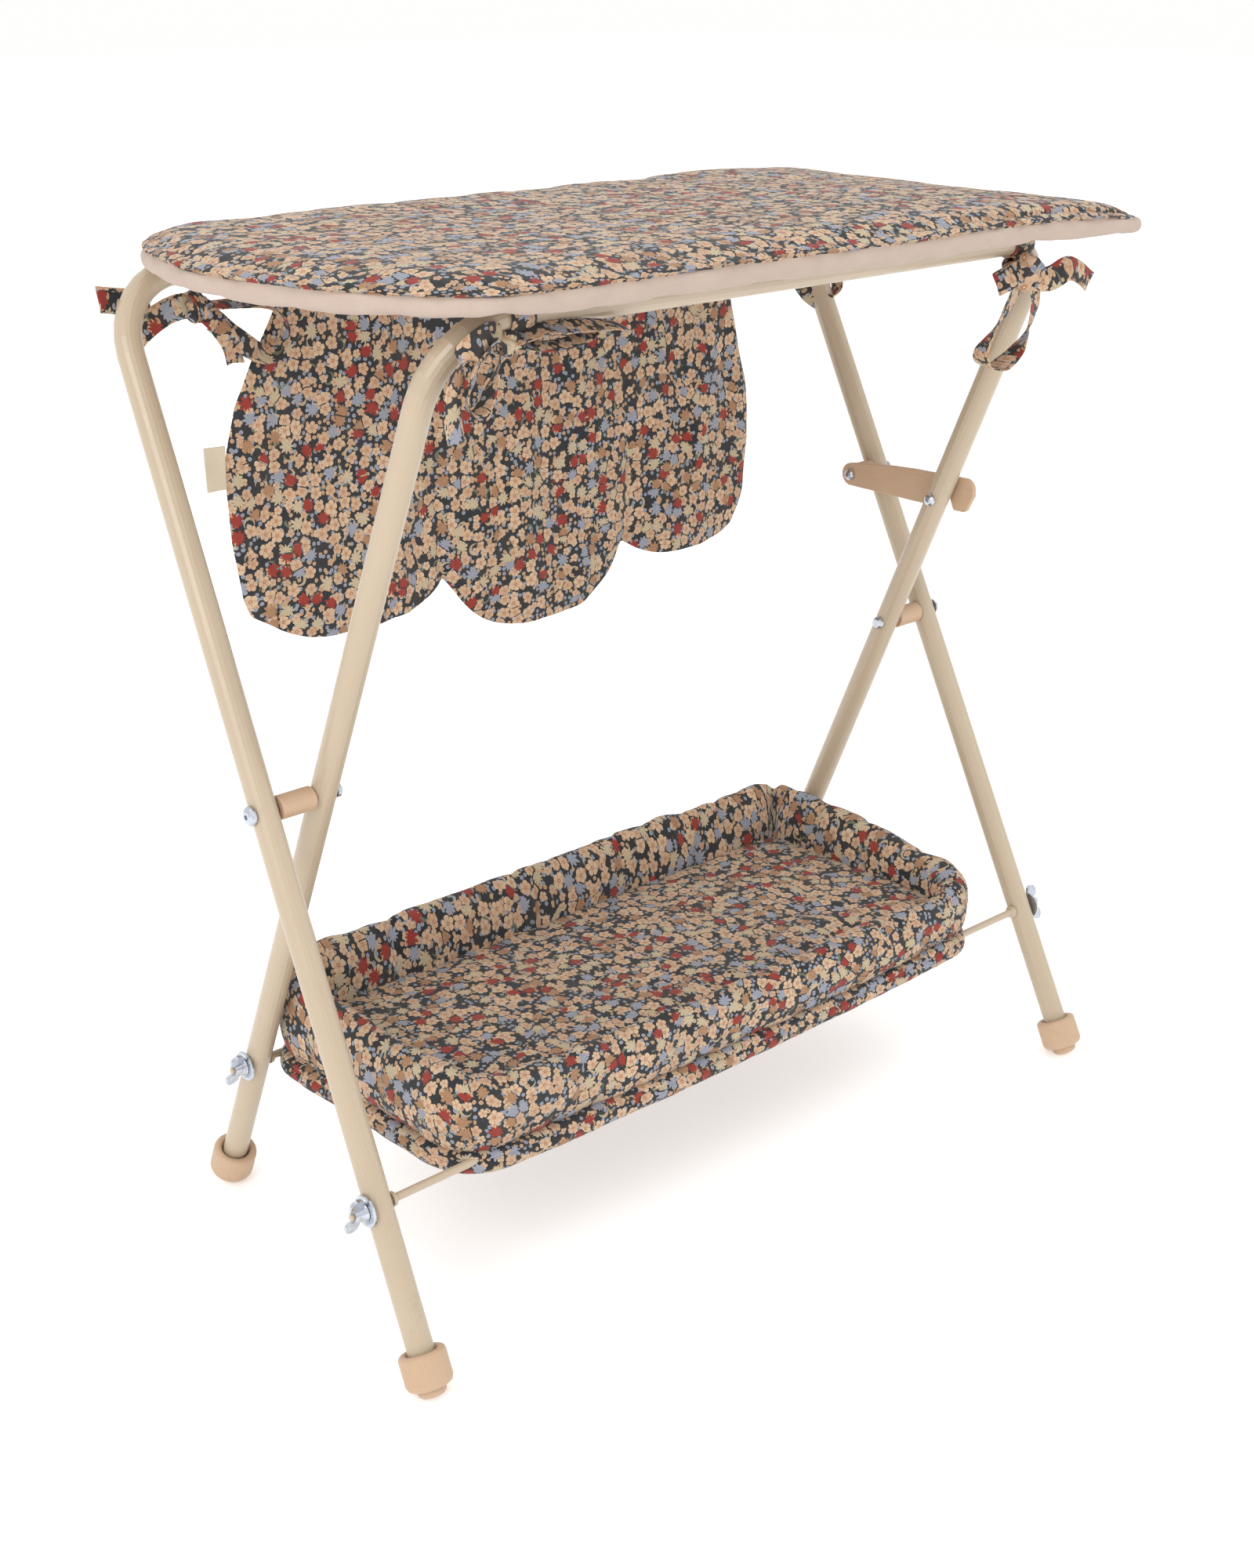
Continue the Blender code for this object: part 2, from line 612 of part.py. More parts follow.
def organizer():
    """A flat hanging cloth with three pockets, sewn as a sleeve around the back bar."""
    bar = OUTER.leg(1, BAR_Z)
    x0, x1 = CLOTH_SLEEVE
    length = x1 - x0
    outer_r = CLOTH_SLEEVE_R
    profile = [(TUBE_R + GAP, 0), (outer_r, 0), (outer_r, length), (TUBE_R + GAP, length)]
    cloth = add_object("organizer", turned(profile, 20, along_x(x0, bar.y, BAR_Z)), MATERIALS["print"])
    outline = [(x0, BAR_Z - 0.0088), (x0 - 0.006, 0.56), (-0.203, 0.505), (-0.212, 0.47)]
    outline += [(-0.21, 0.42), (-0.204, 0.385)]
    outline += scallop(-0.194, -0.047, (0.372, 0.362), 0.35)
    outline += scallop(-0.047, 0.115, (0.362, 0.36), 0.325)
    outline += scallop(0.115, 0.228, (0.36, 0.366), 0.35)
    outline += [(0.235, 0.376), (0.241, 0.42), (0.237, 0.466), (0.226, 0.504), (x1, BAR_Z - 0.0088)]
    bm = bmesh.new()
    loops = [[bm.verts.new((x, bar.y + side * CLOTH_T / 2, z)) for x, z in outline] for side in (-1, 1)]
    for loop in loops:
        bm.faces.new(loop)
    for i in range(len(outline)):
        j = (i + 1) % len(outline)
        bm.faces.new((loops[0][i], loops[0][j], loops[1][j], loops[1][i]))
    boolean(cloth, add_object("cut_panel", bm, MATERIALS["print"]), "UNION")

    front = bar.y - CLOTH_T / 2 - GAP
    turn = Matrix.Rotation(math.pi / 2, 4, "X")
    for number, x in enumerate(SNAP_X, 1):
        profile = [(0, 0), (SNAP_R, 0), (SNAP_R, SNAP_T * 0.6), (SNAP_R * 0.8, SNAP_T), (0, SNAP_T)]
        bm = turned(profile, 20, Matrix.Translation((x, front, SNAP_Z)) @ turn)
        add_object(f"snap_{number}", bm, MATERIALS["plastic"], (x, front, SNAP_Z))

    right_x, low_z = LABEL_AT
    low = (right_x - LABEL_SIZE[0], bar.y - LABEL_SIZE[1] / 2, low_z)
    high = (right_x, bar.y + LABEL_SIZE[1] / 2, low_z + LABEL_SIZE[2])
    add_object("side_label", box(low, high), MATERIALS["plain"])


def tie(name, centre, along, boxes):
    """A fabric tie: a band around the tube with a knot, loops and tails as plain slabs."""
    turn = along.to_track_quat("Z", "X").to_matrix().to_4x4()
    inner_r = TUBE_R + GAP
    profile = [(inner_r, 0), (inner_r + TIE_T, 0), (inner_r + TIE_T, TIE_W), (inner_r, TIE_W)]
    place = Matrix.Translation(centre) @ turn @ Matrix.Translation((0, 0, -TIE_W / 2))
    band = add_object(name, turned(profile, 20, place), MATERIALS["print"])
    for low, high in boxes:
        low = centre + Vector(low)
        high = centre + Vector(high)
        boolean(band, add_object("cut_bow", box(low, high), MATERIALS["print"]), "UNION")


def ties():
    reach = TUBE_R + GAP + TIE_T * 0.5
    along_bar = Vector((1, 0, 0))
    front_bar = INNER.leg(1, BAR_Z)
    knot = ((-0.006, -0.006, -reach - 0.009), (0.006, 0.006, -reach))
    for side, name in ((-1, "tie_front_left"), (1, "tie_front_right")):
        centre = Vector((side * TIE_FRONT_X, front_bar.y, BAR_Z))
        tail = ((-0.0065, -0.001, -reach - 0.078), (0.0065, 0.0008, -reach - 0.008))
        tie(name, centre, along_bar, (knot, tail))
    for side, name in ((-1, "tie_back_left"), (1, "tie_back_right")):
        centre = OUTER.leg(side, TIE_BACK_Z)
        inward = -side
        block = ((reach, -0.006, -0.006), (reach + 0.009, 0.006, 0.006))
        tail = ((reach + 0.002, -0.001, -0.045), (reach + 0.0045, 0.001, -0.005))
        boxes = [[tuple(c * (inward if i == 0 else 1) for i, c in enumerate(p)) for p in b] for b in (block, tail)]
        boxes = [[tuple(map(min, zip(*b))), tuple(map(max, zip(*b)))] for b in boxes]
        tie(name, centre, OUTER.up(side), boxes)


for old in list(bpy.data.objects):
    bpy.data.objects.remove(old, do_unlink=True)

MATERIALS = {
    "steel": make_material("beige_painted_steel", (0.56, 0.46, 0.33), 0.32),
    "plastic": make_material("beige_plastic", (0.62, 0.45, 0.31), 0.45),
    "zinc": make_material("zinc", (0.62, 0.65, 0.7), 0.25, 1.0),
    "print": make_material("print_fabric", (0.32, 0.24, 0.2), 0.9),
    "plain": make_material("plain_fabric", (0.7, 0.58, 0.47), 0.9),
}

frame_tube("outer_frame", OUTER, ((LATCH_Z, LATCH_HOLE_R),))
frame_tube("inner_frame", INNER, ((LATCH_Z, LATCH_HOLE_R),))
for side, label in ((-1, "left"), (1, "right")):
    foot("foot_front_" + label, OUTER, side)
    foot("foot_back_" + label, INNER, side)
    pivot(side, label)
    rod_end(OUTER, side, "front_" + label, math.radians(-20))
    rod_end(INNER, side, "back_" + label, math.radians(-25))
rod("front_rod", OUTER)
rod("back_rod", INNER)
latch()
changing_pad()
basket()
organizer()
ties()
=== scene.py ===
import json
import math

import bmesh
import bpy
import numpy as np
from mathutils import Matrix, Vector, noise


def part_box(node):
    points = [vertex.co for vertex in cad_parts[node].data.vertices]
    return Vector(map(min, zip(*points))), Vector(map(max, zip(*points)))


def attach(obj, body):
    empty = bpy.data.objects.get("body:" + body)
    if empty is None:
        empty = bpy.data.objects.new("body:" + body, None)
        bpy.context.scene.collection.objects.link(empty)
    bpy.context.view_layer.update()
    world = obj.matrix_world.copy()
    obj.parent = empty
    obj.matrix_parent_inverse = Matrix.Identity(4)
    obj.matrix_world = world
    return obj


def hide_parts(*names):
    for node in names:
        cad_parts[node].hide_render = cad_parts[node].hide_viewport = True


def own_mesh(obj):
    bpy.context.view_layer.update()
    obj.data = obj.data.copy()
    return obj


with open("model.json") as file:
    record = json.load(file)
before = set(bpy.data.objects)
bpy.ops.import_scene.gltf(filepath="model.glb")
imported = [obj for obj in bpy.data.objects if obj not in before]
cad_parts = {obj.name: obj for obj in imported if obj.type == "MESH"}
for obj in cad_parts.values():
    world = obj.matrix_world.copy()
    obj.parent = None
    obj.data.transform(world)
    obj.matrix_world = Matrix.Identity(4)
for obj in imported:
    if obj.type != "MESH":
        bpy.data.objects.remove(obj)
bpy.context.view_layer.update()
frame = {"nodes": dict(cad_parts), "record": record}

MM = 0.001
TURN = 2 * math.pi
OUTER_BODY = "outer_frame_body"
INNER_BODY = "inner_frame_body"


# ---------------------------------------------------------------- colours and nodes

def tone(code):
    """A hex colour as a linear RGBA tuple."""
    out = []
    for i in (0, 2, 4):
        c = int(code[i:i + 2], 16) / 255
        out.append(c / 12.92 if c <= 0.04045 else ((c + 0.055) / 1.055) ** 2.4)
    return (*out, 1.0)


class Nodes:
    """A small helper that builds one node material."""

    def __init__(self, name):
        self.material = bpy.data.materials.new(name)
        self.material.use_nodes = True
        self.tree = self.material.node_tree
        self.shader = self.tree.nodes["Principled BSDF"]

    def put(self, socket, value):
        if isinstance(value, bpy.types.NodeSocket):
            self.tree.links.new(value, socket)
        else:
            socket.default_value = value

    def add(self, kind, inputs=(), **settings):
        node = self.tree.nodes.new(kind)
        for key, value in settings.items():
            setattr(node, key, value)
        for key, value in dict(inputs).items():
            self.put(node.inputs[key], value)
        return node

    def math(self, operation, a, b=0.0, c=0.0, clamp=False):
        node = self.add("ShaderNodeMath", {0: a, 1: b, 2: c}, operation=operation)
        node.use_clamp = clamp
        return node.outputs[0]

    def vector(self, operation, a, b=(0, 0, 0), scale=1.0):
        inputs = {0: a, "Scale": scale} if operation == "SCALE" else {0: a, 1: b}
        node = self.add("ShaderNodeVectorMath", operation=operation)
        for key, value in inputs.items():
            self.put(node.inputs[key], value)
        return node.outputs["Value" if operation in ("LENGTH", "DOT_PRODUCT") else "Vector"]

    def mix(self, share, a, b, blend="MIX"):
        node = self.tree.nodes.new("ShaderNodeMix")
        node.data_type, node.blend_type = "RGBA", blend
        self.put(node.inputs["Factor"], share)
        self.put(node.inputs[6], a)
        self.put(node.inputs[7], b)
        return node.outputs[2]

    def noise(self, where, scale, detail=2.0, roughness=0.5):
        node = self.add(
            "ShaderNodeTexNoise",
            {"Vector": where, "Scale": scale, "Detail": detail, "Roughness": roughness},
        )
        return node.outputs["Fac"]

    def ramp(self, value, low, high, a=0.0, b=1.0):
        node = self.add("ShaderNodeMapRange", {0: value, 1: low, 2: high, 3: a, 4: b})
        return node.outputs[0]

    def bump(self, height, strength, distance, under=None):
        inputs = {"Height": height, "Strength": strength, "Distance": distance}
        if under is not None:
            inputs["Normal"] = under
        return self.add("ShaderNodeBump", inputs).outputs["Normal"]

    def place(self):
        """Where a point is at rest, in metres."""
        return self.add("ShaderNodeTexCoord").outputs["Object"]

    def finish(self, color, roughness, normal=None, **sockets):
        self.put(self.shader.inputs["Base Color"], color)
        self.put(self.shader.inputs["Roughness"], roughness)
        if normal is not None:
            self.put(self.shader.inputs["Normal"], normal)
        for key, value in sockets.items():
            self.put(self.shader.inputs[key.replace("_", " ")], value)
        return self.material


def weave(n, where, pitch):
    """A plain weave's height from 0 to 1, threads a pitch apart."""
    parts = n.add("ShaderNodeSeparateXYZ", {0: where})
    waves = []
    for axis in (0, 1):
        turn = n.math("MULTIPLY", parts.outputs[axis], TURN / pitch)
        waves.append(n.math("SINE", turn))
    return n.math("MULTIPLY_ADD", n.math("MULTIPLY", waves[0], waves[1]), 0.5, 0.5)


def cloth_place(n, seed):
    """The flat cloth's own coordinates, in metres, moved by the seed."""
    uv = n.add("ShaderNodeUVMap", uv_map="cloth").outputs["UV"]
    return n.vector("ADD", uv, (seed * 0.37, seed * 0.23, 0))


def motif_cells(n, where, size, seed, randomness=0.85):
    """Cells about a size apart: each has its own middle, angle and random numbers."""
    spot = n.vector("ADD", n.vector("SCALE", where, scale=1 / size), (seed * 3.1, seed * 7.7, 0))
    inputs = {"Vector": spot, "Scale": 1.0, "Randomness": randomness}
    cell, edge = (
        n.add("ShaderNodeTexVoronoi", inputs, voronoi_dimensions="2D", feature=feature)
        for feature in ("F1", "DISTANCE_TO_EDGE")
    )
    local = n.vector("SUBTRACT", spot, cell.outputs["Position"])
    parts = n.add("ShaderNodeSeparateXYZ", {0: local})
    chance = n.add("ShaderNodeSeparateColor", {0: cell.outputs["Color"]})
    spin = n.math("MULTIPLY", chance.outputs[1], TURN)
    angle = n.math("ARCTAN2", parts.outputs[1], parts.outputs[0])
    return {
        "r": n.vector("LENGTH", local),
        "angle": n.math("ADD", angle, spin),
        "edge": edge.outputs["Distance"],
        "kind": chance.outputs[0],
        "tint": chance.outputs[2],
    }


def below(n, a, b):
    return n.math("LESS_THAN", a, b)


def both(n, a, b):
    return n.math("MULTIPLY", a, b)


def between(n, value, low, high):
    return both(n, n.math("GREATER_THAN", value, low), below(n, value, high))


def blossom(n, cell, reach):
    """A flower with five round petals: its mask, its eye and the gaps between its petals."""
    petal = n.math("ABSOLUTE", n.math("COSINE", n.math("MULTIPLY", cell["angle"], 2.5)))
    shape = n.math("POWER", petal, 0.45)
    size = n.math("MULTIPLY_ADD", cell["tint"], 0.22 * reach, 0.86 * reach)
    edge = n.math("MULTIPLY", n.math("MULTIPLY_ADD", shape, 0.42, 0.60), size)
    mask = below(n, cell["r"], edge)
    share = n.math("DIVIDE", cell["r"], size)
    gap = both(n, below(n, petal, 0.2), n.math("GREATER_THAN", share, 0.34))
    eye = between(n, share, 0.1, 0.27)
    return mask, gap, eye, share


def aster(n, cell, reach, rays):
    """A spiky flower seen from the side, longer to one side: its mask and the lines in it."""
    turn = n.math("MULTIPLY", cell["angle"], rays / TURN)
    ray = n.math("ABSOLUTE", n.math("MULTIPLY_ADD", n.math("FRACT", turn), 2.0, -1.0))
    lean = n.math("MULTIPLY_ADD", n.math("COSINE", cell["angle"]), 0.26, 0.74)
    longest = n.math("MULTIPLY", lean, reach)
    edge = n.math("MULTIPLY", n.math("MULTIPLY_ADD", ray, 0.55, 0.5), longest)
    mask = below(n, cell["r"], edge)
    line = both(n, below(n, ray, 0.22), n.math("GREATER_THAN", cell["r"], 0.1))
    return mask, line


def print_fabric(name, seed, painted_shade=1.0):
    """Woven cotton with a dense print of small flowers on a dark ground. The last argument darkens
    this copy of the print: partly the print's own tone, partly painted shade set part by part.
    """
    n = Nodes(name)
    flat = cloth_place(n, seed)
    wobble = n.add("ShaderNodeTexNoise", {"Vector": flat, "Scale": 420.0, "Detail": 1.0})
    shift = n.vector("SUBTRACT", wobble.outputs["Color"], (0.5, 0.5, 0.5))
    where = n.vector("ADD", flat, n.vector("SCALE", shift, scale=0.0007))

    ground = n.mix(n.noise(flat, 300.0), tone("262A30"), tone("363A40"))

    # leaves: thin bent strokes
    leaf = motif_cells(n, where, 0.0110, seed + 3)
    outer = n.math("MULTIPLY_ADD", n.math("COSINE", leaf["angle"]), 0.11, 0.36)
    stroke = between(n, leaf["r"], 0.3, outer)
    leaf_color = n.mix(n.math("GREATER_THAN", leaf["tint"], 0.5), tone("6F7668"), tone("BBAE96"))
    color = n.mix(both(n, stroke, below(n, leaf["kind"], 0.6)), ground, leaf_color)

    # dots
    dot = motif_cells(n, where, 0.0037, seed + 5, 0.9)
    dot_color = n.mix(n.math("GREATER_THAN", dot["tint"], 0.55), tone("9AA3B6"), tone("C9A788"))
    dot_mask = both(n, below(n, dot["r"], 0.35), below(n, dot["kind"], 0.62))
    dot_eye = below(n, dot["r"], 0.13)
    dot_color = n.mix(dot_eye, dot_color, n.mix(0.35, dot_color, tone("4A4E5C")))
    color = n.mix(dot_mask, color, dot_color)

    # small flowers in the gaps
    small = motif_cells(n, where, 0.0080, seed + 9)
    mask, gap, eye, _ = blossom(n, small, 0.34)
    tint = n.mix(small["tint"], tone("C7A88E"), tone("D8C0A6"))
    tint = n.mix(eye, n.mix(gap, tint, tone("A0806A")), tone("BE8A66"))
    color = n.mix(both(n, mask, below(n, small["kind"], 0.55)), color, tint)

    # large flowers and spiky ones share the same cells, so that they sit side by side
    main = motif_cells(n, where, 0.0099, seed, 0.82)
    clear = n.math("GREATER_THAN", main["edge"], 0.04)
    mask, line = aster(n, main, 0.70, 9)
    spiky = tone("9DA4B6")
    for limit, code in ((0.27, "C9BBA0"), (0.54, "AE8768"), (0.74, "9C3A32")):
        spiky = n.mix(n.math("GREATER_THAN", main["tint"], limit), spiky, tone(code))
    spiky = n.mix(n.math("MULTIPLY", line, 0.45), spiky, n.mix(0.6, spiky, tone("3A3A44")))
    mask = both(n, both(n, mask, clear), between(n, main["kind"], 0.47, 0.93))
    color = n.mix(mask, color, spiky)

    mask, gap, eye, share = blossom(n, main, 0.435)
    peach = n.mix(main["tint"], tone("CFAF94"), tone("DFC6AB"))
    peach = n.mix(n.ramp(share, 0.3, 1.0), n.mix(0.3, peach, tone("BC9276")), peach)
    peach = n.mix(n.math("MULTIPLY", gap, 0.75), peach, tone("A5836A"))
    peach = n.mix(eye, peach, tone("B07D5E"))
    peach = n.mix(below(n, share, 0.09), peach, tone("DFCDB2"))
    mask = both(n, both(n, mask, clear), below(n, main["kind"], 0.48))
    color = n.mix(mask, color, peach)

    # threads, fading, a warm tint, and this copy's painted shade
    thread = weave(n, flat, 0.00055)
    fade = n.noise(flat, 28.0, 3.0)
    color = n.mix(n.ramp(fade, 0.3, 0.75, 0.0, 0.12), color, tone("8F8375"))
    # this copy's brightness factor scales the threads here: partly the print's own tone, partly
    # painted shade that differs from part to part
    grain = n.ramp(thread, 0.0, 1.0, 0.86 * painted_shade, 1.04 * painted_shade)
    weave_tint_and_painted_shade = n.add(
        "ShaderNodeCombineColor",
        {0: grain, 1: n.math("MULTIPLY", grain, 0.965), 2: n.math("MULTIPLY", grain, 0.92)},
    )
    color = n.mix(1.0, color, weave_tint_and_painted_shade.outputs[0], "MULTIPLY")
    height = n.math("MULTIPLY_ADD", thread, 0.6, n.noise(flat, 1600.0, 2.0))
    normal = n.bump(height, 0.35, 0.00016)
    roughness = n.ramp(n.noise(flat, 240.0), 0.2, 0.8, 0.78, 0.93)
    sheen = {"Sheen_Weight": 0.12, "Sheen_Roughness": 0.45}
    return n.finish(color, roughness, normal, Specular_IOR_Level=0.22, **sheen)


def plain_fabric(name, light, dark, seed):
    """Undyed cotton with a slubby weave."""
    n = Nodes(name)
    flat = cloth_place(n, seed)
    thread = weave(n, flat, 0.00048)
    color = n.mix(n.noise(flat, 60.0, 4.0), tone(dark), tone(light))
    slub = n.noise(n.vector("MULTIPLY", flat, (1, 9, 1)), 260.0, 2.0)
    color = n.mix(n.ramp(slub, 0.45, 0.8, 0.0, 0.25), color, tone("B09A82"))
    color = n.mix(n.ramp(thread, 0.0, 0.5, 0.14, 0.0), color, tone("9C8770"))
    height = n.math("MULTIPLY_ADD", thread, 0.7, slub)
    normal = n.bump(height, 0.3, 0.00015)
    roughness = n.ramp(slub, 0.2, 0.8, 0.8, 0.92)
    sheen = {"Sheen_Weight": 0.15, "Sheen_Roughness": 0.4}
    return n.finish(color, roughness, normal, Specular_IOR_Level=0.2, **sheen)


def powder_coat():
    """Satin paint with a very fine orange peel, a little darker in patches near the floor."""
    n = Nodes("powder_coat")
    where = n.place()
    cloud = n.noise(where, 14.0, 4.0)
    color = n.mix(cloud, tone("B09F88"), tone("BCAB94"))
    speck = n.noise(where, 2600.0, 1.0)
    color = n.mix(n.ramp(speck, 0.62, 0.75, 0.0, 0.18), color, tone("8F7F69"))
    low = n.add("ShaderNodeSeparateXYZ", {0: where}).outputs[2]
    patch = n.ramp(n.noise(where, 90.0, 5.0, 0.65), 0.58, 0.74)
    # darker in patches on the lowest 16 cm of the frame, most at the floor
    low_dark_patch = both(n, patch, n.ramp(low, 0.16, 0.02))
    color = n.mix(n.math("MULTIPLY", low_dark_patch, 0.35), color, tone("8E7E64"))
    peel = n.noise(where, 1100.0, 2.0)
    roughness = n.ramp(n.noise(where, 60.0, 3.0), 0.3, 0.7, 0.27, 0.38)
    normal = n.bump(peel, 0.12, 0.00012)
    return n.finish(color, roughness, normal, Coat_Weight=0.25, Coat_Roughness=0.2)


def moulded_plastic():
    """Beige plastic with faint flow marks and a fine grain, darker in patches at the very bottom.
    """
    n = Nodes("moulded_plastic")
    where = n.place()
    color = n.mix(n.noise(where, 22.0, 3.0), tone("B89B80"), tone("C4A78B"))
    flow = n.noise(n.vector("MULTIPLY", where, (1, 1, 5)), 70.0, 3.0)
    color = n.mix(n.ramp(flow, 0.5, 0.8, 0.0, 0.22), color, tone("A88A70"))
    grain = n.noise(where, 1500.0, 2.0)
    low = n.add("ShaderNodeSeparateXYZ", {0: where}).outputs[2]
    # darker in patches on the lowest 12 mm, most at the floor
    bottom_dark_patch = both(n, n.ramp(low, 0.012, 0.0), n.ramp(n.noise(where, 240.0, 3.0), 0.4, 0.7))
    color = n.mix(n.math("MULTIPLY", bottom_dark_patch, 0.5), color, tone("7F7060"))
    roughness = n.ramp(grain, 0.3, 0.7, 0.42, 0.55)
    normal = n.bump(grain, 0.16, 0.00012)
    return n.finish(color, roughness, normal, Specular_IOR_Level=0.4)


def zinc_plate():
    """Bright plated steel with dull spots."""
    n = Nodes("zinc_plate")
    where = n.place()
    cloud = n.noise(where, 180.0, 3.0)
    color = n.mix(cloud, tone("AEB6C4"), tone("D5D9DF"))
    tarnish = n.noise(where, 420.0, 4.0, 0.6)
    color = n.mix(n.ramp(tarnish, 0.56, 0.74, 0.0, 0.55), color, tone("7E7A72"))
    scratch = n.noise(n.vector("MULTIPLY", where, (1, 7, 1)), 900.0, 2.0)
    roughness = n.ramp(scratch, 0.3, 0.8, 0.16, 0.4)
    return n.finish(color, roughness, n.bump(scratch, 0.1, 0.00008), Metallic=1.0)


def floor_paint():
    """White paint, lit a little from within so that the shadows stay pale."""
    n = Nodes("floor_paint")
    where = n.place()
    color = n.mix(n.noise(where, 3.0, 4.0), (0.90, 0.90, 0.90, 1), (0.93, 0.93, 0.93, 1))
    roughness = n.ramp(n.noise(where, 40.0), 0.3, 0.7, 0.6, 0.75)
    glow = {"Emission_Color": color, "Emission_Strength": 0.36}
    return n.finish(color, roughness, None, Specular_IOR_Level=0.15, **glow)


# ---------------------------------------------------------------- mesh making

def dent(point, scale, seed):
    """Smooth noise from about -1 to 1 at a point, with hollows about 1 / scale metres apart."""
    return noise.noise(Vector(point) * scale + Vector((seed * 5.3, seed * 1.7, seed * 9.1)))


def loft(name, points, uvs, around=True, along=False, caps=(), marks=None):
    """A mesh through rows of points. points is rows x columns x 3; uvs has one more row or column
    where the mesh closes. caps names the rows that are closed across, pair by pair."""
    rows, cols = points.shape[:2]
    verts = [tuple(p) for p in points.reshape(-1, 3)]
    faces, corners, kinds = [], [], []
    for i in range(rows if along else rows - 1):
        for j in range(cols if around else cols - 1):
            quad = ((i, j), (i, j + 1), (i + 1, j + 1), (i + 1, j))
            faces.append([(r % rows) * cols + c % cols for r, c in quad])
            corners.extend(tuple(uvs[r, c]) for r, c in quad)
            kinds.append(marks[i] if marks else 0)
    for row in caps:
        row %= rows
        for j in range(cols // 2 - 1):
            quad = (j, j + 1, cols - 2 - j, cols - 1 - j)
            faces.append([row * cols + k for k in quad])
            corners.extend(tuple(uvs[row, k]) for k in quad)
            kinds.append(marks[min(row, len(marks) - 1)] if marks else 0)
    mesh = bpy.data.meshes.new(name)
    mesh.from_pydata(verts, [], faces)
    layer = mesh.uv_layers.new(name="cloth")
    layer.data.foreach_set("uv", np.array(corners, np.float32).ravel())
    mesh.polygons.foreach_set("material_index", np.array(kinds, np.int32))
    mesh.polygons.foreach_set("use_smooth", np.ones(len(faces), bool))
    bm = bmesh.new()
    bm.from_mesh(mesh)
    bmesh.ops.recalc_face_normals(bm, faces=bm.faces)
    bm.to_mesh(mesh)
    bm.free()
    obj = bpy.data.objects.new(name, mesh)
    bpy.context.scene.collection.objects.link(obj)
    return obj


def place_of(obj):
    co = np.zeros(len(obj.data.vertices) * 3)
    obj.data.vertices.foreach_get("co", co)
    return co.reshape(-1, 3)


def set_place(obj, co):
    obj.data.vertices.foreach_set("co", np.asarray(co, np.float32).ravel())
    obj.data.update()


def apply_modifiers(obj):
    bpy.context.view_layer.update()
    done = bpy.data.meshes.new_from_object(obj.evaluated_get(bpy.context.evaluated_depsgraph_get()))
    obj.modifiers.clear()
    old, obj.data = obj.data, done
    bpy.data.meshes.remove(old)


def subdivide(obj, levels=1):
    part = obj.modifiers.new("smooth", "SUBSURF")
    part.levels = part.render_levels = levels
    apply_modifiers(obj)


def inflate(obj, held, cap, pressure, grow, frames=20):
    """Fills a closed cloth shell with wadding. held has each point's pin weight from 0 to 1, cap is
    how far a point may move, and grow is the share by which the cloth is larger than the shell."""
    rest = place_of(obj)
    group = obj.vertex_groups.new(name="held")
    held = np.round(held, 2)
    for weight in sorted(set(held)):
        if weight > 0:
            group.add(np.flatnonzero(held == weight).tolist(), float(weight), "REPLACE")
    cloth = obj.modifiers.new("cloth", "CLOTH")
    settings = cloth.settings
    settings.quality = 6
    settings.mass = 0.12
    settings.tension_stiffness = settings.compression_stiffness = 12
    settings.shear_stiffness = 6
    settings.bending_stiffness = 0.5
    settings.use_pressure = True
    settings.uniform_pressure_force = pressure
    settings.effector_weights.gravity = 0
    settings.vertex_group_mass = "held"
    settings.shrink_min = -grow
    cloth.point_cache.frame_start = 1
    cloth.point_cache.frame_end = frames
    scene = bpy.context.scene
    for number in range(1, frames + 1):
        scene.frame_set(number)
    filled = obj.evaluated_get(bpy.context.evaluated_depsgraph_get()).data
    co = np.zeros(len(filled.vertices) * 3)
    filled.vertices.foreach_get("co", co)
    move = co.reshape(-1, 3) - rest
    far = np.linalg.norm(move, axis=1, keepdims=True)
    obj.modifiers.clear()
    obj.vertex_groups.clear()
    scene.frame_set(1)
    set_place(obj, rest + move * (cap * np.tanh(far / cap) / np.maximum(far, 1e-9)))


def outline_points(corners, count):
    """count points evenly spaced round a closed outline, with outward normals and lengths."""
    pts = np.array(corners, float)
    closed = np.vstack([pts, pts[:1]])
    step = np.linalg.norm(np.diff(closed, axis=0), axis=1)
    total = step.sum()
    at = np.concatenate([[0], np.cumsum(step)])
    t = np.arange(count) * total / count
    out = np.stack([np.interp(t, at, closed[:, k]) for k in (0, 1)], 1)
    for _ in range(3):
        out = (np.roll(out, 1, 0) + 2 * out + np.roll(out, -1, 0)) / 4
    tangent = np.roll(out, -1, 0) - np.roll(out, 1, 0)
    normal = np.stack([tangent[:, 1], -tangent[:, 0]], 1)
    normal /= np.linalg.norm(normal, axis=1, keepdims=True)
    return out, normal, t


def corner_arc(cx, cy, radius, start, steps=8):
    out = []
    for i in range(steps + 1):
        a = math.radians(start + 90 * i / steps)
        out.append((cx + radius * math.cos(a), cy + radius * math.sin(a)))
    return out


# ---------------------------------------------------------------- materials

# the four copies of the print differ in their last number, a brightness factor: partly the print's
# own tone, partly painted shade set part by part
PRINT_PAD = print_fabric("print_pad", 1.0, 0.86)
PRINT_TRAY = print_fabric("print_basket", 4.0, 0.87)
PRINT_CLOTH = print_fabric("print_organizer", 7.0, 0.94)
PRINT_TIE = print_fabric("print_tie", 11.0, 0.95)
CREAM = plain_fabric("cream_cotton", "BEADA1", "B19F94", 2.0)
LABEL = plain_fabric("label_tape", "D8CDB8", "CDC1AA", 6.0)
STEEL = powder_coat()
PLASTIC = moulded_plastic()
ZINC = zinc_plate()

HARDWARE = {"painted_steel": STEEL, "beige_plastic": PLASTIC, "zinc_hardware": ZINC}
for part in frame["record"]["subparts"]:
    if part["material_slot"] in HARDWARE:
        node = frame["nodes"][part["node"]]
        node.data.materials.clear()
        node.data.materials.append(HARDWARE[part["material_slot"]])


# ---------------------------------------------------------------- padded top

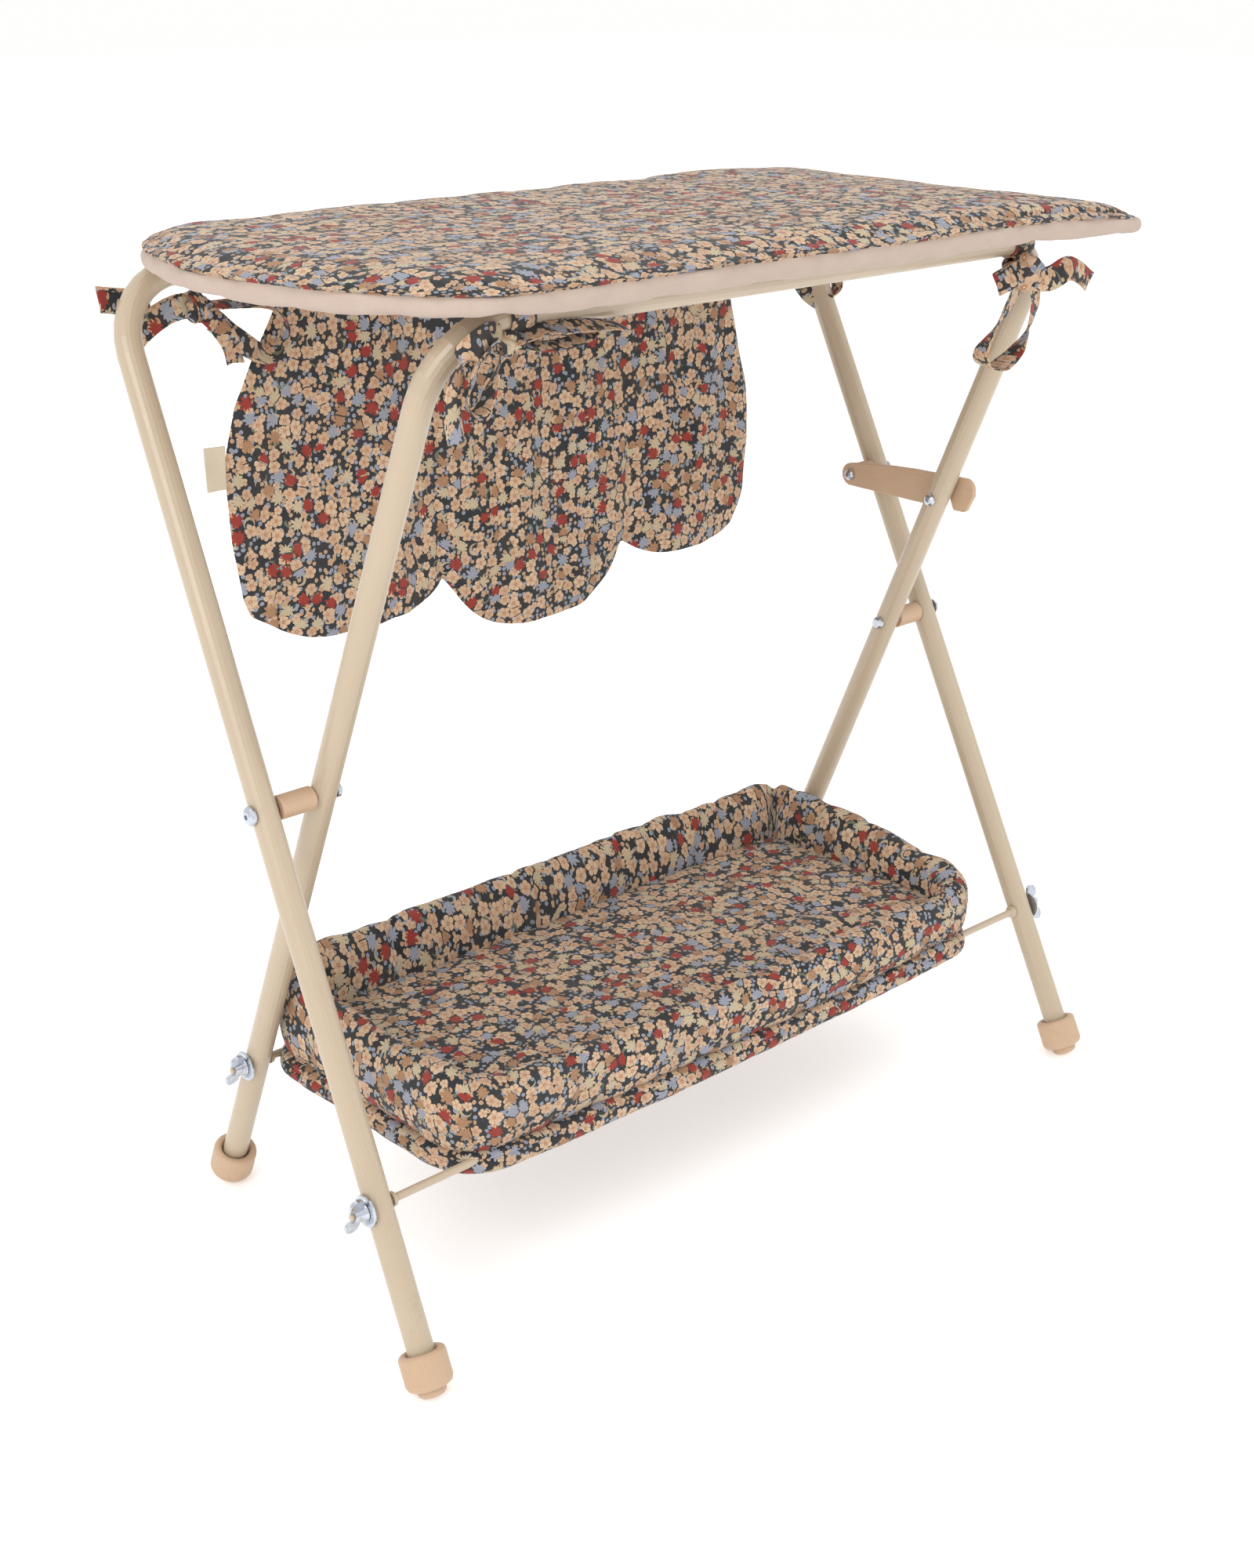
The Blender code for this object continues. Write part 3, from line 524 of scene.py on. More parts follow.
# the pad's edge from its top face round to its underside, in millimetres:
# (inset from the outline, drop from the top, how far the flat cloth runs past the outline)
PAD_RIM = (
    (24, 0.0, -24), (17, 0.2, -17), (12, 0.7, -12), (9.6, 1.3, -9.6), (8.8, 2.7, -8.6),
    (7.8, 1.8, -7.2), (5, 2.5, -4), (2.2, 3.7, 0), (0.6, 5.0, 4), (0.5, 5.8, 6.5),
    (1.8, 6.3, 8), (2.8, 6.9, 9), (1.0, 8.0, 10.6), (0.0, 11.0, 13), (0.8, 15.0, 16), (4, 17.6, 20),
    (10, 18.2, 26), (19, 17.0, 35), (28, 15.0, 44),
)
PAD_SEAM = 4            # the rim row in the sewn groove
PAD_BORDER = 11         # the rim row where the print ends and the plain cotton starts
PAD_CENTRE_X = 0.02     # the inner rows shrink towards here
PAD_REST_Z = 0.5974     # the underside lies on the bars at this height
PAD_CORNER = 0.014      # radius of the right end's corners
PAD_ARCH = 0.48         # length of the left end's arch, as a share of half the pad's width
PAD_ARCH_POWER = 1.12   # above 1 makes the arch more pointed than an ellipse


def pad_outline(front, back, left, right):
    """Tight corners at the right end and a long arch at the left end."""
    half, middle = (back - front) / 2, (front + back) / 2
    reach = half * PAD_ARCH
    plan = corner_arc(right - PAD_CORNER, front + PAD_CORNER, PAD_CORNER, -90)
    plan += corner_arc(right - PAD_CORNER, back - PAD_CORNER, PAD_CORNER, 0)
    for i in range(61):
        a = math.radians(90 + 3 * i)
        c, d = math.cos(a), math.sin(a)
        x = left + reach + reach * math.copysign(abs(c) ** PAD_ARCH_POWER, c)
        y = middle + half * math.copysign(abs(d) ** PAD_ARCH_POWER, d)
        plan.append((x, y))
    return outline_points(plan, 300)


def changing_pad():
    low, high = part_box("changing_pad")
    top = high.z - 0.0022
    front, back = low.y, high.y
    half, middle = (back - front) / 2, (front + back) / 2
    edge, normal, length = pad_outline(front, back, low.x, high.x - 0.001)

    def lower(x, y):
        """How far the right end hangs, most at its front corner."""
        hang = min(max((x - 0.17) / 0.135, 0), 1) ** 2
        return 0.0105 * hang * (0.75 + 0.25 * min(max(-y / half, -1), 1))

    inner = [s / 16 for s in range(1, 16)]
    count = len(inner)
    rows, flats, marks, held = [], [], [], []

    def add_row(inset, drop, run, scale, mark, pin):
        ring, flat = [], []
        for (x, y), (nx, ny) in zip(edge, normal):
            spots = (x - nx * inset, PAD_CENTRE_X), (y - ny * inset, middle)
            spots += (x + nx * run, PAD_CENTRE_X), (y + ny * run, middle)
            px, py, qx, qy = (v * scale + c * (1 - scale) for v, c in spots)
            ring.append((px, py, top - drop - lower(px, py) * (0.6 if mark else 1)))
            flat.append((qx, qy))
        rows.append(ring)
        flats.append(flat + flat[:1])
        marks.append(mark)
        held.append(pin)

    for s in inner:
        add_row(24 * MM, 1.5 * MM * (s ** 4 - 1), -24 * MM, s, 0, 0)
    for i, (inset, drop, run) in enumerate(PAD_RIM):
        pin = 0.9 if i in (PAD_SEAM, PAD_BORDER) else 0.0
        add_row(inset * MM, drop * MM, run * MM, 1, 0 if i < PAD_BORDER else 1, pin)
    for s in reversed(inner):
        add_row(28 * MM, 15.0 * MM, 44 * MM, s, 1, 1)

    points = np.array(rows)
    cols = points.shape[1]
    for i in range(count + len(PAD_RIM)):
        for j in range(cols):
            x, y, _ = points[i, j]
            if i < count + PAD_SEAM:
                wave = 1.5 * dent((x, y, 0), 16, 1) + 0.9 * dent((x, y, 0), 36, 2)
                points[i, j, 2] += wave * MM * (0.45 if i > count else 0.8)
                continue
            nx, ny = normal[j]
            pucker = dent((length[j], i * 0.004, 0), 75, 3) * 0.9
            pucker += dent((length[j], 0, 0), 22, 4) * 0.9
            if i > count + PAD_BORDER:
                pucker *= 1.25
            points[i, j] += np.array((nx, ny, -0.5)) * pucker * MM
            points[i, j, 2] += 1.4 * MM * dent((length[j], 0, 0), 9, 5)

    pad = loft("pad_shell", points, np.array(flats), caps=(0, -1), marks=marks)
    pins = np.repeat(np.array(held, float), cols)
    inflate(pad, pins, 3.5 * MM, pressure=3.0, grow=0.012)
    co = place_of(pad)
    co[:, 2] = np.minimum(co[:, 2], high.z + 3 * MM)
    inside = np.arange(len(co)) >= cols * (count + len(PAD_RIM) - 1)
    co[inside, 2] = np.maximum(co[inside, 2], PAD_REST_Z)
    set_place(pad, co)
    subdivide(pad)
    return split_by_mark(pad, ("pad_top", "pad_underside"), (PRINT_PAD, CREAM))


def split_by_mark(obj, names, materials):
    """Parts a mesh into one object for each material number."""
    made = []
    for number, (name, material) in enumerate(zip(names, materials)):
        mesh = obj.data.copy()
        mesh.name = name
        bm = bmesh.new()
        bm.from_mesh(mesh)
        others = [face for face in bm.faces if face.material_index != number]
        bmesh.ops.delete(bm, geom=others, context="FACES")
        for face in bm.faces:
            face.material_index = 0
        bm.to_mesh(mesh)
        bm.free()
        mesh.materials.clear()
        mesh.materials.append(material)
        part = bpy.data.objects.new(name, mesh)
        bpy.context.scene.collection.objects.link(part)
        made.append(part)
    bpy.data.objects.remove(obj, do_unlink=True)
    return made


# ---------------------------------------------------------------- basket

# the wall's section in millimetres, from its outer foot over the top to its inner foot:
# (inset from the outline, share of the wall's height, run of the flat cloth)
BASKET_WALL = (
    (6.5, 0.0, 0), (3.2, 0.08, 4), (1.4, 0.28, 13), (1.2, 0.5, 23), (2.2, 0.72, 33),
    (4.6, 0.89, 42), (8.0, 0.98, 48), (12.0, 1.0, 53), (16.0, 0.97, 57), (20.0, 0.86, 63),
    (22.6, 0.68, 72), (23.6, 0.48, 82), (23.2, 0.3, 91), (22.0, 0.16, 98), (19.5, 0.06, 102),
    (14.5, 0.0, 108), (10.5, -0.03, 112), (6.5, 0.0, 118),
)
BASKET_CREST = 7        # the wall row on top
# the hem's section in millimetres: (inset, rise from the basket's base, run of the flat cloth)
BASKET_HEM = (
    (2.0, 1.0, 0), (-0.8, 3.4, 3.5), (-1.6, 6.6, 7.5), (-1.0, 9.2, 10.6), (0.8, 10.4, 12),
    (0.9, 11.0, 13), (-0.2, 12.0, 14.4), (0.2, 13.6, 16), (3.0, 15.0, 19), (9.0, 15.6, 25),
    (14.0, 15.0, 30), (16.6, 12.4, 35), (17.0, 8.0, 40), (15.0, 3.0, 45), (10.0, 0.4, 51),
    (5.0, 0.2, 56), (1.5, 1.2, 60),
)
# the cushion's edge in millimetres: (inset, drop from its top, flat cloth's inset)
CUSHION_RIM = (
    (24, 0, 24), (21.5, 1.6, 21.5), (19.5, 5.0, 18.5), (19.0, 10, 14), (19.5, 18, 6), (22, 24, 0),
    (28, 27, -7),
)
CUSHION_TOP = 0.1265
BASKET_CORNER = 0.034   # radius of the outline's corners
BASKET_POINTS = 360     # points round the outline


def basket():
    """A padded wall, the sewn hem that takes the rods, and the floor cushion."""
    low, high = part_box("basket")
    half, front, back, base = high.x, low.y, high.y, low.z
    across, deep = half - BASKET_CORNER, BASKET_CORNER
    plan = corner_arc(across, front + deep, deep, -90)
    plan += corner_arc(across, back - deep, deep, 0)
    plan += corner_arc(-across, back - deep, deep, 90)
    plan += corner_arc(-across, front + deep, deep, 180)
    edge, normal, length = outline_points(plan, BASKET_POINTS)

    def edge_at(j):
        """A point of the outline, its normal, where it is along the outline, and the same on the
        flat cloth, which doesn't close."""
        i = j % BASKET_POINTS
        along = length[i] if j < BASKET_POINTS else length[-1] + length[1]
        return (*edge[i], *normal[i], length[i], along)

    def rim_height(x, y, where):
        """The top of the wall: high at the back, sagging along the front."""
        share = min(max((y - front) / (back - front), 0), 1)
        height = 0.141 + 0.027 * share ** 0.8
        if share < 0.35:
            height += 0.010 * max(-x / half, 0) ** 1.5 * (1 - share / 0.35)
        corner = max(abs(x) / half - 0.8, 0) / 0.2
        height += 0.004 * corner * (1 - share)
        height += 2.6 * MM * dent((where, 0, 0), 17, 1)
        return height + 1.3 * MM * dent((where, 0, 0), 45, 2)

    def sag(x, y):
        """The front edge bulges out and down a little in the middle."""
        if y > (front + back) / 2:
            return 0.0
        return 3.2 * MM * max(1 - (x / (half * 0.95)) ** 2, 0)

    def wall_point(k, j):
        inset, share, run = BASKET_WALL[k]
        x, y, nx, ny, where, along = edge_at(j)
        outside = k <= BASKET_CREST
        foot = base + 0.0135
        pinch = min(max((2 * abs(nx * ny) - 0.92) / 0.08, 0), 1)
        top = rim_height(x, y, where) - 3.0 * MM * pinch
        push = inset * MM - sag(x, y) * (1 - share) * 0.7 * (share < 0.9)
        z = foot + (top - foot) * share - sag(x, y) * (1 - share) * 0.6
        spot = (where, share * 0.016, 0)
        crease = dent(spot, 42, 3) * 2.6 + dent(spot, 95, 4) * 1.9 + dent(spot, 18, 5) * 2.2
        push -= (1 if outside else -1) * crease * MM * (0.6 + 0.4 * share)
        push += (2.0 if outside else -3.5) * MM * pinch * share
        if outside:
            swell = 0.5 + 0.5 * math.sin(math.pi * min(share, 1))
            push -= 5.5 * MM * max(nx, 0) ** 2 * swell
        return (x - nx * push, y - ny * push, z), (along, run * MM)

    def hem_point(k, j):
        inset, rise, run = BASKET_HEM[k]
        x, y, nx, ny, where, along = edge_at(j)
        out = sag(x, y) * 0.8
        wave = dent((where, k * 0.001, 0), 60, 6) * 0.7 + dent((where, 0, 0), 18, 7) * 0.8
        push = inset * MM - out - wave * MM * (inset < 8)
        push -= 2.0 * MM * max(nx, 0) ** 2 * (inset < 12)
        z = base + rise * MM - out * 0.9 + 0.5 * MM * dent((where, 0, 0), 26, 8)
        return (x - nx * push, y - ny * push, z), (along, run * MM - 0.03)

    def tube(name, section, point_at):
        """A closed section carried round the outline; its last row repeats its first."""
        made = [[point_at(k, j) for j in range(BASKET_POINTS + 1)] for k in range(len(section))]
        points = np.array([[spot for spot, _ in row[:-1]] for row in made[:-1]])
        uvs = np.array([[flat for _, flat in row] for row in made])
        return loft(name, points, uvs, along=True)

    def cushion_shell():
        inner = [s / 14 for s in range(1, 14)]
        sections = [(28, -0.4, 24, s, 0.0) for s in inner]
        sections += [(*row, 1, 0.0) for row in CUSHION_RIM]
        sections += [(28, 27, -7, s, 1.0) for s in reversed(inner)]
        rows, flats, pins = [], [], []
        for k, (inset, drop, run, scale, pin) in enumerate(sections):
            ring, flat = [], []
            for (x, y), (nx, ny) in zip(edge, normal):
                px, py = (x - nx * inset * MM) * scale, (y - ny * inset * MM) * scale
                qx, qy = (x - nx * run * MM) * scale, (y - ny * run * MM) * scale
                z = CUSHION_TOP - drop * MM
                if k < len(inner) + 2:
                    z += MM * 1.5 * (1 - scale ** 3)
                    z += MM * 1.6 * dent((px, py * 1.6, 0), 22, 9)
                    z += MM * 0.9 * dent((px, py, 0), 55, 10)
                ring.append((px, py, z))
                flat.append((qx + 0.4, qy))
            rows.append(ring)
            flats.append(flat + flat[:1])
            pins += [pin] * BASKET_POINTS
        return loft("basket_cushion", np.array(rows), np.array(flats), caps=(0, -1)), np.array(pins)

    walls = tube("basket_walls", BASKET_WALL, wall_point)
    pins = np.zeros((len(BASKET_WALL) - 1, BASKET_POINTS))
    pins[0] = pins[-1] = pins[-2] = 1.0
    pins[1] = 0.3
    pins[:, ::30] = np.maximum(pins[:, ::30], 0.12)
    inflate(walls, pins.ravel(), 4.5 * MM, pressure=3.5, grow=0.03)

    hem = tube("basket_hem", BASKET_HEM, hem_point)

    cushion, pins = cushion_shell()
    inflate(cushion, pins, 3.0 * MM, pressure=2.5, grow=0.03)
    for piece in (walls, hem, cushion):
        subdivide(piece)
        piece.data.materials.append(PRINT_TRAY)
    return walls, hem, cushion


# ---------------------------------------------------------------- organizer

# the cloth's side edges, as (height, x), and its three lobes, as (left x, right x, lowest point)
ORGANIZER_LEFT = (
    (0.580, -0.166), (0.560, -0.172), (0.53, -0.19), (0.505, -0.203), (0.47, -0.212),
    (0.42, -0.21), (0.385, -0.204), (0.365, -0.194),
)
ORGANIZER_RIGHT = (
    (0.580, 0.214), (0.560, 0.214), (0.53, 0.219), (0.504, 0.226), (0.466, 0.237), (0.42, 0.241),
    (0.385, 0.237), (0.363, 0.228),
)
ORGANIZER_LOBES = ((-0.194, -0.047, 0.350), (-0.047, 0.115, 0.325), (0.115, 0.228, 0.350))
ORGANIZER_TOP = 0.5805
SLEEVE_ENDS = (-0.166, 0.214)


def organizer():
    """The hanging cloth and the sleeve that holds it on the back bar."""
    low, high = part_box("organizer")
    _, snap_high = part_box("snap_1")
    face_y = snap_high.y - 0.1 * MM + 1.0 * MM       # just behind the snaps
    bar_y, bar_z = (low.y + high.y) / 2, high.z - 0.0093
    cols, rows_count = 150, 84

    def side(curve, z):
        heights, places = zip(*sorted(curve))
        return float(np.interp(z, heights, places))

    def lobe_at(u):
        """How far across its lobe a column is, and the lobe's lowest point."""
        first, last = ORGANIZER_LOBES[0][0], ORGANIZER_LOBES[-1][1]
        x = first + (last - first) * u
        here = [lobe for lobe in ORGANIZER_LOBES if x <= lobe[1]] or ORGANIZER_LOBES[-1:]
        x0, x1, low_z = here[0]
        return min(max((x - x0) / (x1 - x0), 0), 1), low_z

    pts, uv = [], []
    for i in range(rows_count):
        v = i / (rows_count - 1)
        row, flat = [], []
        for j in range(cols):
            u = j / (cols - 1)
            share, low_z = lobe_at(u)
            ends = 0.372 - 0.010 * u
            bottom = ends + (low_z - ends) * (1 - abs(2 * share - 1) ** 3.2)
            z = ORGANIZER_TOP + (bottom - ORGANIZER_TOP) * v
            xl, xr = (side(curve, max(z, 0.363)) for curve in (ORGANIZER_LEFT, ORGANIZER_RIGHT))
            x = xl + (xr - xl) * u
            free = min(max((0.548 - z) / 0.06, 0), 1)
            belly = (1.2 + 6.5 * v ** 1.5) * math.sin(math.pi * share) ** 0.6
            fold = 3.0 * dent((x, z * 0.22, 0), 26, 1) + 1.8 * dent((x, z * 0.3, 0), 60, 2)
            fold += 0.8 * dent((x, z, 0), 30, 3)
            groove = 1.6 * math.exp(-((min(share, 1 - share) * 0.14) / 0.0045) ** 2)
            curl = 2.0 * max(v - 0.93, 0) / 0.07
            y = face_y + (-belly + fold * 1.2 + groove + curl) * MM * free
            row.append((x, y, z))
            flat.append((x, z))
        pts.append(row)
        uv.append(flat)
    cloth = loft("organizer_cloth", np.array(pts), np.array(uv), around=False)
    thick = cloth.modifiers.new("thick", "SOLIDIFY")
    thick.thickness, thick.offset = 1.2 * MM, 0.0
    thick.use_even_offset = False
    apply_modifiers(cloth)
    subdivide(cloth)
    cloth.data.materials.append(PRINT_CLOTH)

    x0, x1 = SLEEVE_ENDS
    profile = [-math.pi / 2 + TURN * k / 28 for k in range(28)]
    steps = 110
    rows, flats = [], []
    for inside in (False, True):
        for i in reversed(range(steps)) if inside else range(steps):
            x = x0 + (x1 - x0) * i / (steps - 1)
            ring = []
            for a in profile:
                wave = 0.35 * dent((x, a * 0.01, 0), 90, 5) + 0.3 * dent((x, a * 0.02, 0), 35, 6)
                r = (8.25 if inside else 9.0 + wave) * MM
                ring.append((x, bar_y + r * math.cos(a), bar_z + r * math.sin(a)))
            rows.append(ring)
            flats.append([(x, 0.6 + 0.0021 * k) for k in range(len(profile) + 1)])
    flats.append(flats[0])
    sleeve = loft("organizer_sleeve", np.array(rows), np.array(flats), along=True)
    sleeve.data.materials.append(PRINT_CLOTH)
    return cloth, sleeve


# ---------------------------------------------------------------- ribbons

STRAP_THICK = 0.0009


def smooth_path(points, count):
    """count points evenly spaced on a smooth curve through the given points."""
    pts = [Vector(p) for p in points]
    pts = [pts[0] * 2 - pts[1]] + pts + [pts[-1] * 2 - pts[-2]]
    dense = []
    for a, b, c, d in zip(pts, pts[1:], pts[2:], pts[3:]):
        second, third = 2 * a - 5 * b + 4 * c - d, 3 * b - a - 3 * c + d
        for i in range(16):
            t = i / 16
            dense.append(0.5 * ((2 * b) + (c - a) * t + second * t * t + third * t ** 3))
    dense.append(pts[-2])
    arr = np.array(dense)
    at = np.concatenate([[0], np.cumsum(np.linalg.norm(np.diff(arr, axis=0), axis=1))])
    t = np.linspace(0, at[-1], count)
    return np.stack([np.interp(t, at, arr[:, k]) for k in range(3)], 1), at[-1]


def ribbon(name, path, across, width=14.0, cut=0.0, seed=0, count=60):
    """A flat fabric strap along a path of points in millimetres; across gives the direction of its
    width at points evenly spread along it. cut slants its free end."""
    line, length = smooth_path([tuple(c * MM for c in p) for p in path], count)
    t = np.linspace(0, 1, count)
    keys = np.linspace(0, 1, len(across))
    wide = np.stack([np.interp(t, keys, [a[k] for a in across]) for k in range(3)], 1)
    tangent = np.gradient(line, axis=0)
    tangent /= np.linalg.norm(tangent, axis=1, keepdims=True)
    wide -= tangent * (wide * tangent).sum(1, keepdims=True)
    wide /= np.linalg.norm(wide, axis=1, keepdims=True)
    out = np.cross(tangent, wide)
    half_width, half_thick = width * MM / 2, STRAP_THICK / 2
    turns = [TURN * k / 16 for k in range(17)]
    rows, flats = [], []
    for i in range(count):
        row = []
        for a in turns[:-1]:
            s = math.copysign(abs(math.cos(a)) ** 0.5, math.cos(a))
            h = math.copysign(abs(math.sin(a)) ** 0.5, math.sin(a))
            crease = 0.5 * MM * dent((t[i] * length * 1000, s * 2.0, seed), 0.11, 3)
            p = line[i] + wide[i] * s * half_width + out[i] * (h * half_thick + crease)
            if cut and i >= count - 3:
                p = p + tangent[i] * s * cut * MM * (i - count + 3) / 2
            row.append(tuple(p))
        rows.append(row)
        flats.append([(seed * 0.031 + math.cos(a) * 0.007, t[i] * length) for a in turns])
    piece = loft(name, np.array(rows), np.array(flats), caps=(0, -1))
    piece.data.materials.append(PRINT_TIE)
    return piece


def knot(name, centre, size, seed):
    """A tight knot: a squashed lump with folds running round it."""
    rows, flats = [], []
    steps, ring = 18, 28
    for i in range(1, steps):
        a = math.pi * i / steps
        row, flat = [], []
        for k in range(ring + 1):
            b = TURN * k / ring
            p = Vector((math.sin(a) * math.cos(b), math.sin(a) * math.sin(b), math.cos(a)))
            fold = 1 + 0.14 * math.sin(5 * p.x + 7 * p.z + seed) + 0.1 * dent(p, 2.2, seed)
            if k < ring:
                row.append(tuple(centre[c] * MM + p[c] * size[c] * MM * fold for c in range(3)))
            flat.append((b * 0.0045 + seed * 0.05, a * 0.006))
        rows.append(row)
        flats.append(flat)
    piece = loft(name, np.array(rows), np.array(flats), caps=(0, -1))
    piece.data.materials.append(PRINT_TIE)
    return piece


def join(name, pieces):
    """One object from several."""
    bm = bmesh.new()
    for piece in pieces:
        bm.from_mesh(piece.data)
        if piece is not pieces[0]:
            old = piece.data
            bpy.data.objects.remove(piece, do_unlink=True)
            bpy.data.meshes.remove(old)
    mesh = pieces[0].data
    bm.to_mesh(mesh)
    bm.free()
    pieces[0].name = mesh.name = name
    mesh.polygons.foreach_set("use_smooth", np.ones(len(mesh.polygons), bool))
    return pieces[0]


def band(name, centre, direction, radius, width, seed):
    """A strap wrapped once round a tube. centre in millimetres."""
    d = Vector(direction).normalized()
    side = d.orthogonal().normalized()
    up = d.cross(side)
    rows, flats = [], []
    around = 40
    outer = radius + 1.0
    profile = [
        (radius, -0.5), (radius, 0.5), (radius + 0.9, 0.5), (outer, 0.17), (outer, -0.17),
        (radius + 0.9, -0.5),
    ]
    for k in range(around):
        a = TURN * k / around
        ray = side * math.cos(a) + up * math.sin(a)
        row = []
        for r, s in profile:
            r += 0.25 * dent((a, s, seed), 1.5, 2) if r > radius else 0
            row.append(tuple((Vector(centre) + ray * r + d * s * width) * MM))
        rows.append(row)
        flats.append([(seed * 0.04 + 0.004 * q, 0.0014 * k) for q in range(len(profile) + 1)])
    flats.append([(u, 0.0014 * around) for u, v in flats[0]])
    piece = loft(name, np.array(rows), np.array(flats), along=True)
    piece.data.materials.append(PRINT_TIE)
    return piece


def tie_front_left():
    parts = [
        band("tfl_band", (-198, -117, 589), (1, 0, 0.0), 8.4, 16, 1),
        knot("tfl_knot", (-208, -122, 577), (10, 6, 6.5), 1),
        ribbon("tfl_tail", [
            (-208, -123, 578), (-224, -130, 583), (-240, -133, 577), (-249, -133, 563),
            (-251, -132, 548), (-248, -131, 533),
        ], [(0, 0.2, 1), (0.3, 0.2, 1), (1, 0.3, 0.2), (1, 0.35, 0.1)],
        width=15.5, cut=2.5, seed=2),
        ribbon("tfl_loop", [
            (-207, -123, 578), (-222, -129, 578), (-236, -131, 565), (-240, -131, 550),
            (-231, -129, 546), (-223, -128, 556), (-215, -126, 570), (-208, -122, 577),
        ], [(0.8, 0.5, 0.3), (0.8, 0.5, 0), (0.1, 1, 0.1), (0.9, 0.4, 0.1)], width=14, seed=3),
        ribbon("tfl_right", [
            (-206, -123, 578), (-188, -129, 583), (-162, -130, 582), (-138, -128, 579),
            (-126, -126, 575),
        ], [(0, 1, 0.35), (0, 1, 0.6), (0.1, 1, 0.2)], width=12, cut=3, seed=4),
        ribbon("tfl_right_loop", [
            (-205, -122, 577), (-190, -127, 574), (-168, -128, 574), (-152, -126, 578),
            (-168, -125, 581), (-190, -125, 581), (-205, -122, 579),
        ], [(0, 1, 0.5), (0, 1, 0.4), (0, 1, 0.6)], width=10, seed=16),
    ]
    return join("tie_front_left_bow", parts)


def tie_front_right():
    parts = [
        band("tfr_band", (214, -117, 589), (1, 0, 0.0), 8.4, 17, 5),
        band("tfr_band_low", (213, -121, 577), (1, 0.1, 0.3), 6.0, 15, 4),
        knot("tfr_knot", (214, -125, 571), (16, 9, 11.5), 2),
        ribbon("tfr_loop", [
            (211, -126, 569), (198, -130, 557), (181, -132, 543), (170, -131, 530),
            (174, -129, 519), (190, -128, 515), (208, -127, 523), (221, -127, 538),
            (226, -127, 555), (220, -126, 570),
        ], [(0.7, 0.3, -0.7), (0.7, 0.5, -0.5), (0.3, 1, 0), (0.2, 1, 0.1),
         (0.9, 0.4, 0.1), (1, 0.2, 0)], width=17, seed=6, count=90),
        ribbon("tfr_tail", [
            (218, -126, 567), (232, -132, 566), (248, -134, 571), (262, -133, 567),
            (275, -132, 560),
        ], [(0.1, 0.2, 1), (0.1, 0.3, 1), (0.5, 0.2, 1)], width=15.5, cut=4, seed=7),
        ribbon("tfr_small", [
            (212, -126, 572), (199, -132, 573), (187, -133, 570), (182, -130, 567),
            (189, -127, 568), (208, -125, 571),
        ], [(0, 0.5, 1), (0, 0.6, 1), (0, 0.5, 1)], width=14, seed=8),
    ]
    return join("tie_front_right_bow", parts)


def tie_back_left():
    """A strap end and a strap pass behind the bend of the outer frame and meet in a bow."""
    parts = [
        ribbon("tbl_end", [
            (-252, 142, 573), (-264, 144, 573), (-276, 143, 575), (-286, 140, 577),
        ], [(0.1, 0.1, 1), (0.15, 0.2, 1)], width=15, cut=2, seed=9),
        ribbon("tbl_strap", [
            (-270, 141, 545), (-262, 141, 554), (-250, 138, 563), (-238, 135, 568),
            (-226, 133, 568),
        ], [(-0.75, 0.2, 0.7), (-0.6, 0.2, 0.8), (-0.3, 0.2, 1)], width=15, seed=11),
        knot("tbl_knot", (-226, 130, 567), (8.5, 6.5, 8), 3),
        band("tbl_wrap", (-229, 131, 568), (1, 0, 0.25), 8.5, 7, 3),
        ribbon("tbl_tail", [
            (-224, 128, 565), (-218, 124, 557), (-212, 122, 546), (-209, 122, 534),
        ], [(1, 0.2, 0.5), (1, 0.2, 0.3), (1, 0.3, 0.1)], width=15, cut=3, seed=10),
        ribbon("tbl_loop", [
            (-223, 129, 568), (-206, 125, 568), (-188, 123, 566), (-173, 123, 556),
            (-174, 123, 543), (-188, 123, 537), (-204, 124, 546), (-220, 127, 560),
        ], [(0.1, 1, 0.2), (0.1, 1, 0.3), (0.3, 1, 0.1), (0.4, 0.4, 0.9), (0.4, 0.2, 0.9)],
        width=15, seed=12, count=80),
    ]
    return join("tie_back_left_bow", parts)


def tie_back_right():
    """A strap crosses the front of the right leg's top, and its bow sits behind the leg."""
    parts = [
        ribbon("tbr_wrap", [
            (272, 128, 549), (272, 116, 536), (274, 106, 525), (282, 99, 519), (291, 98, 524),
            (298, 104, 534), (300, 116, 546), (296, 130, 555), (284, 138, 560),
        ], [(0.6, 0.3, 0.7), (0.5, -0.5, 0.6), (0.2, -0.6, 0.8), (-0.2, 0.4, 1), (-0.4, 0.2, 1)],
        width=15, seed=13, count=90),
        knot("tbr_knot", (276, 139, 557), (8, 6.5, 7.5), 4),
        ribbon("tbr_tail", [
            (274, 141, 556), (266, 146, 551), (262, 147, 541), (262, 147, 530),
        ], [(1, 0.3, 0.3), (1, 0.3, 0), (1, 0.4, 0)], width=14, cut=3, seed=14),
        ribbon("tbr_loop", [
            (275, 141, 558), (262, 146, 563), (246, 147, 560), (238, 147, 550),
            (247, 146, 544), (262, 145, 550), (274, 141, 556),
        ], [(0.1, 1, 0.2), (0.1, 1, 0.3), (0.3, 1, 0.1)], width=13, seed=15, count=70),
    ]
    return join("tie_back_right_bow", parts)


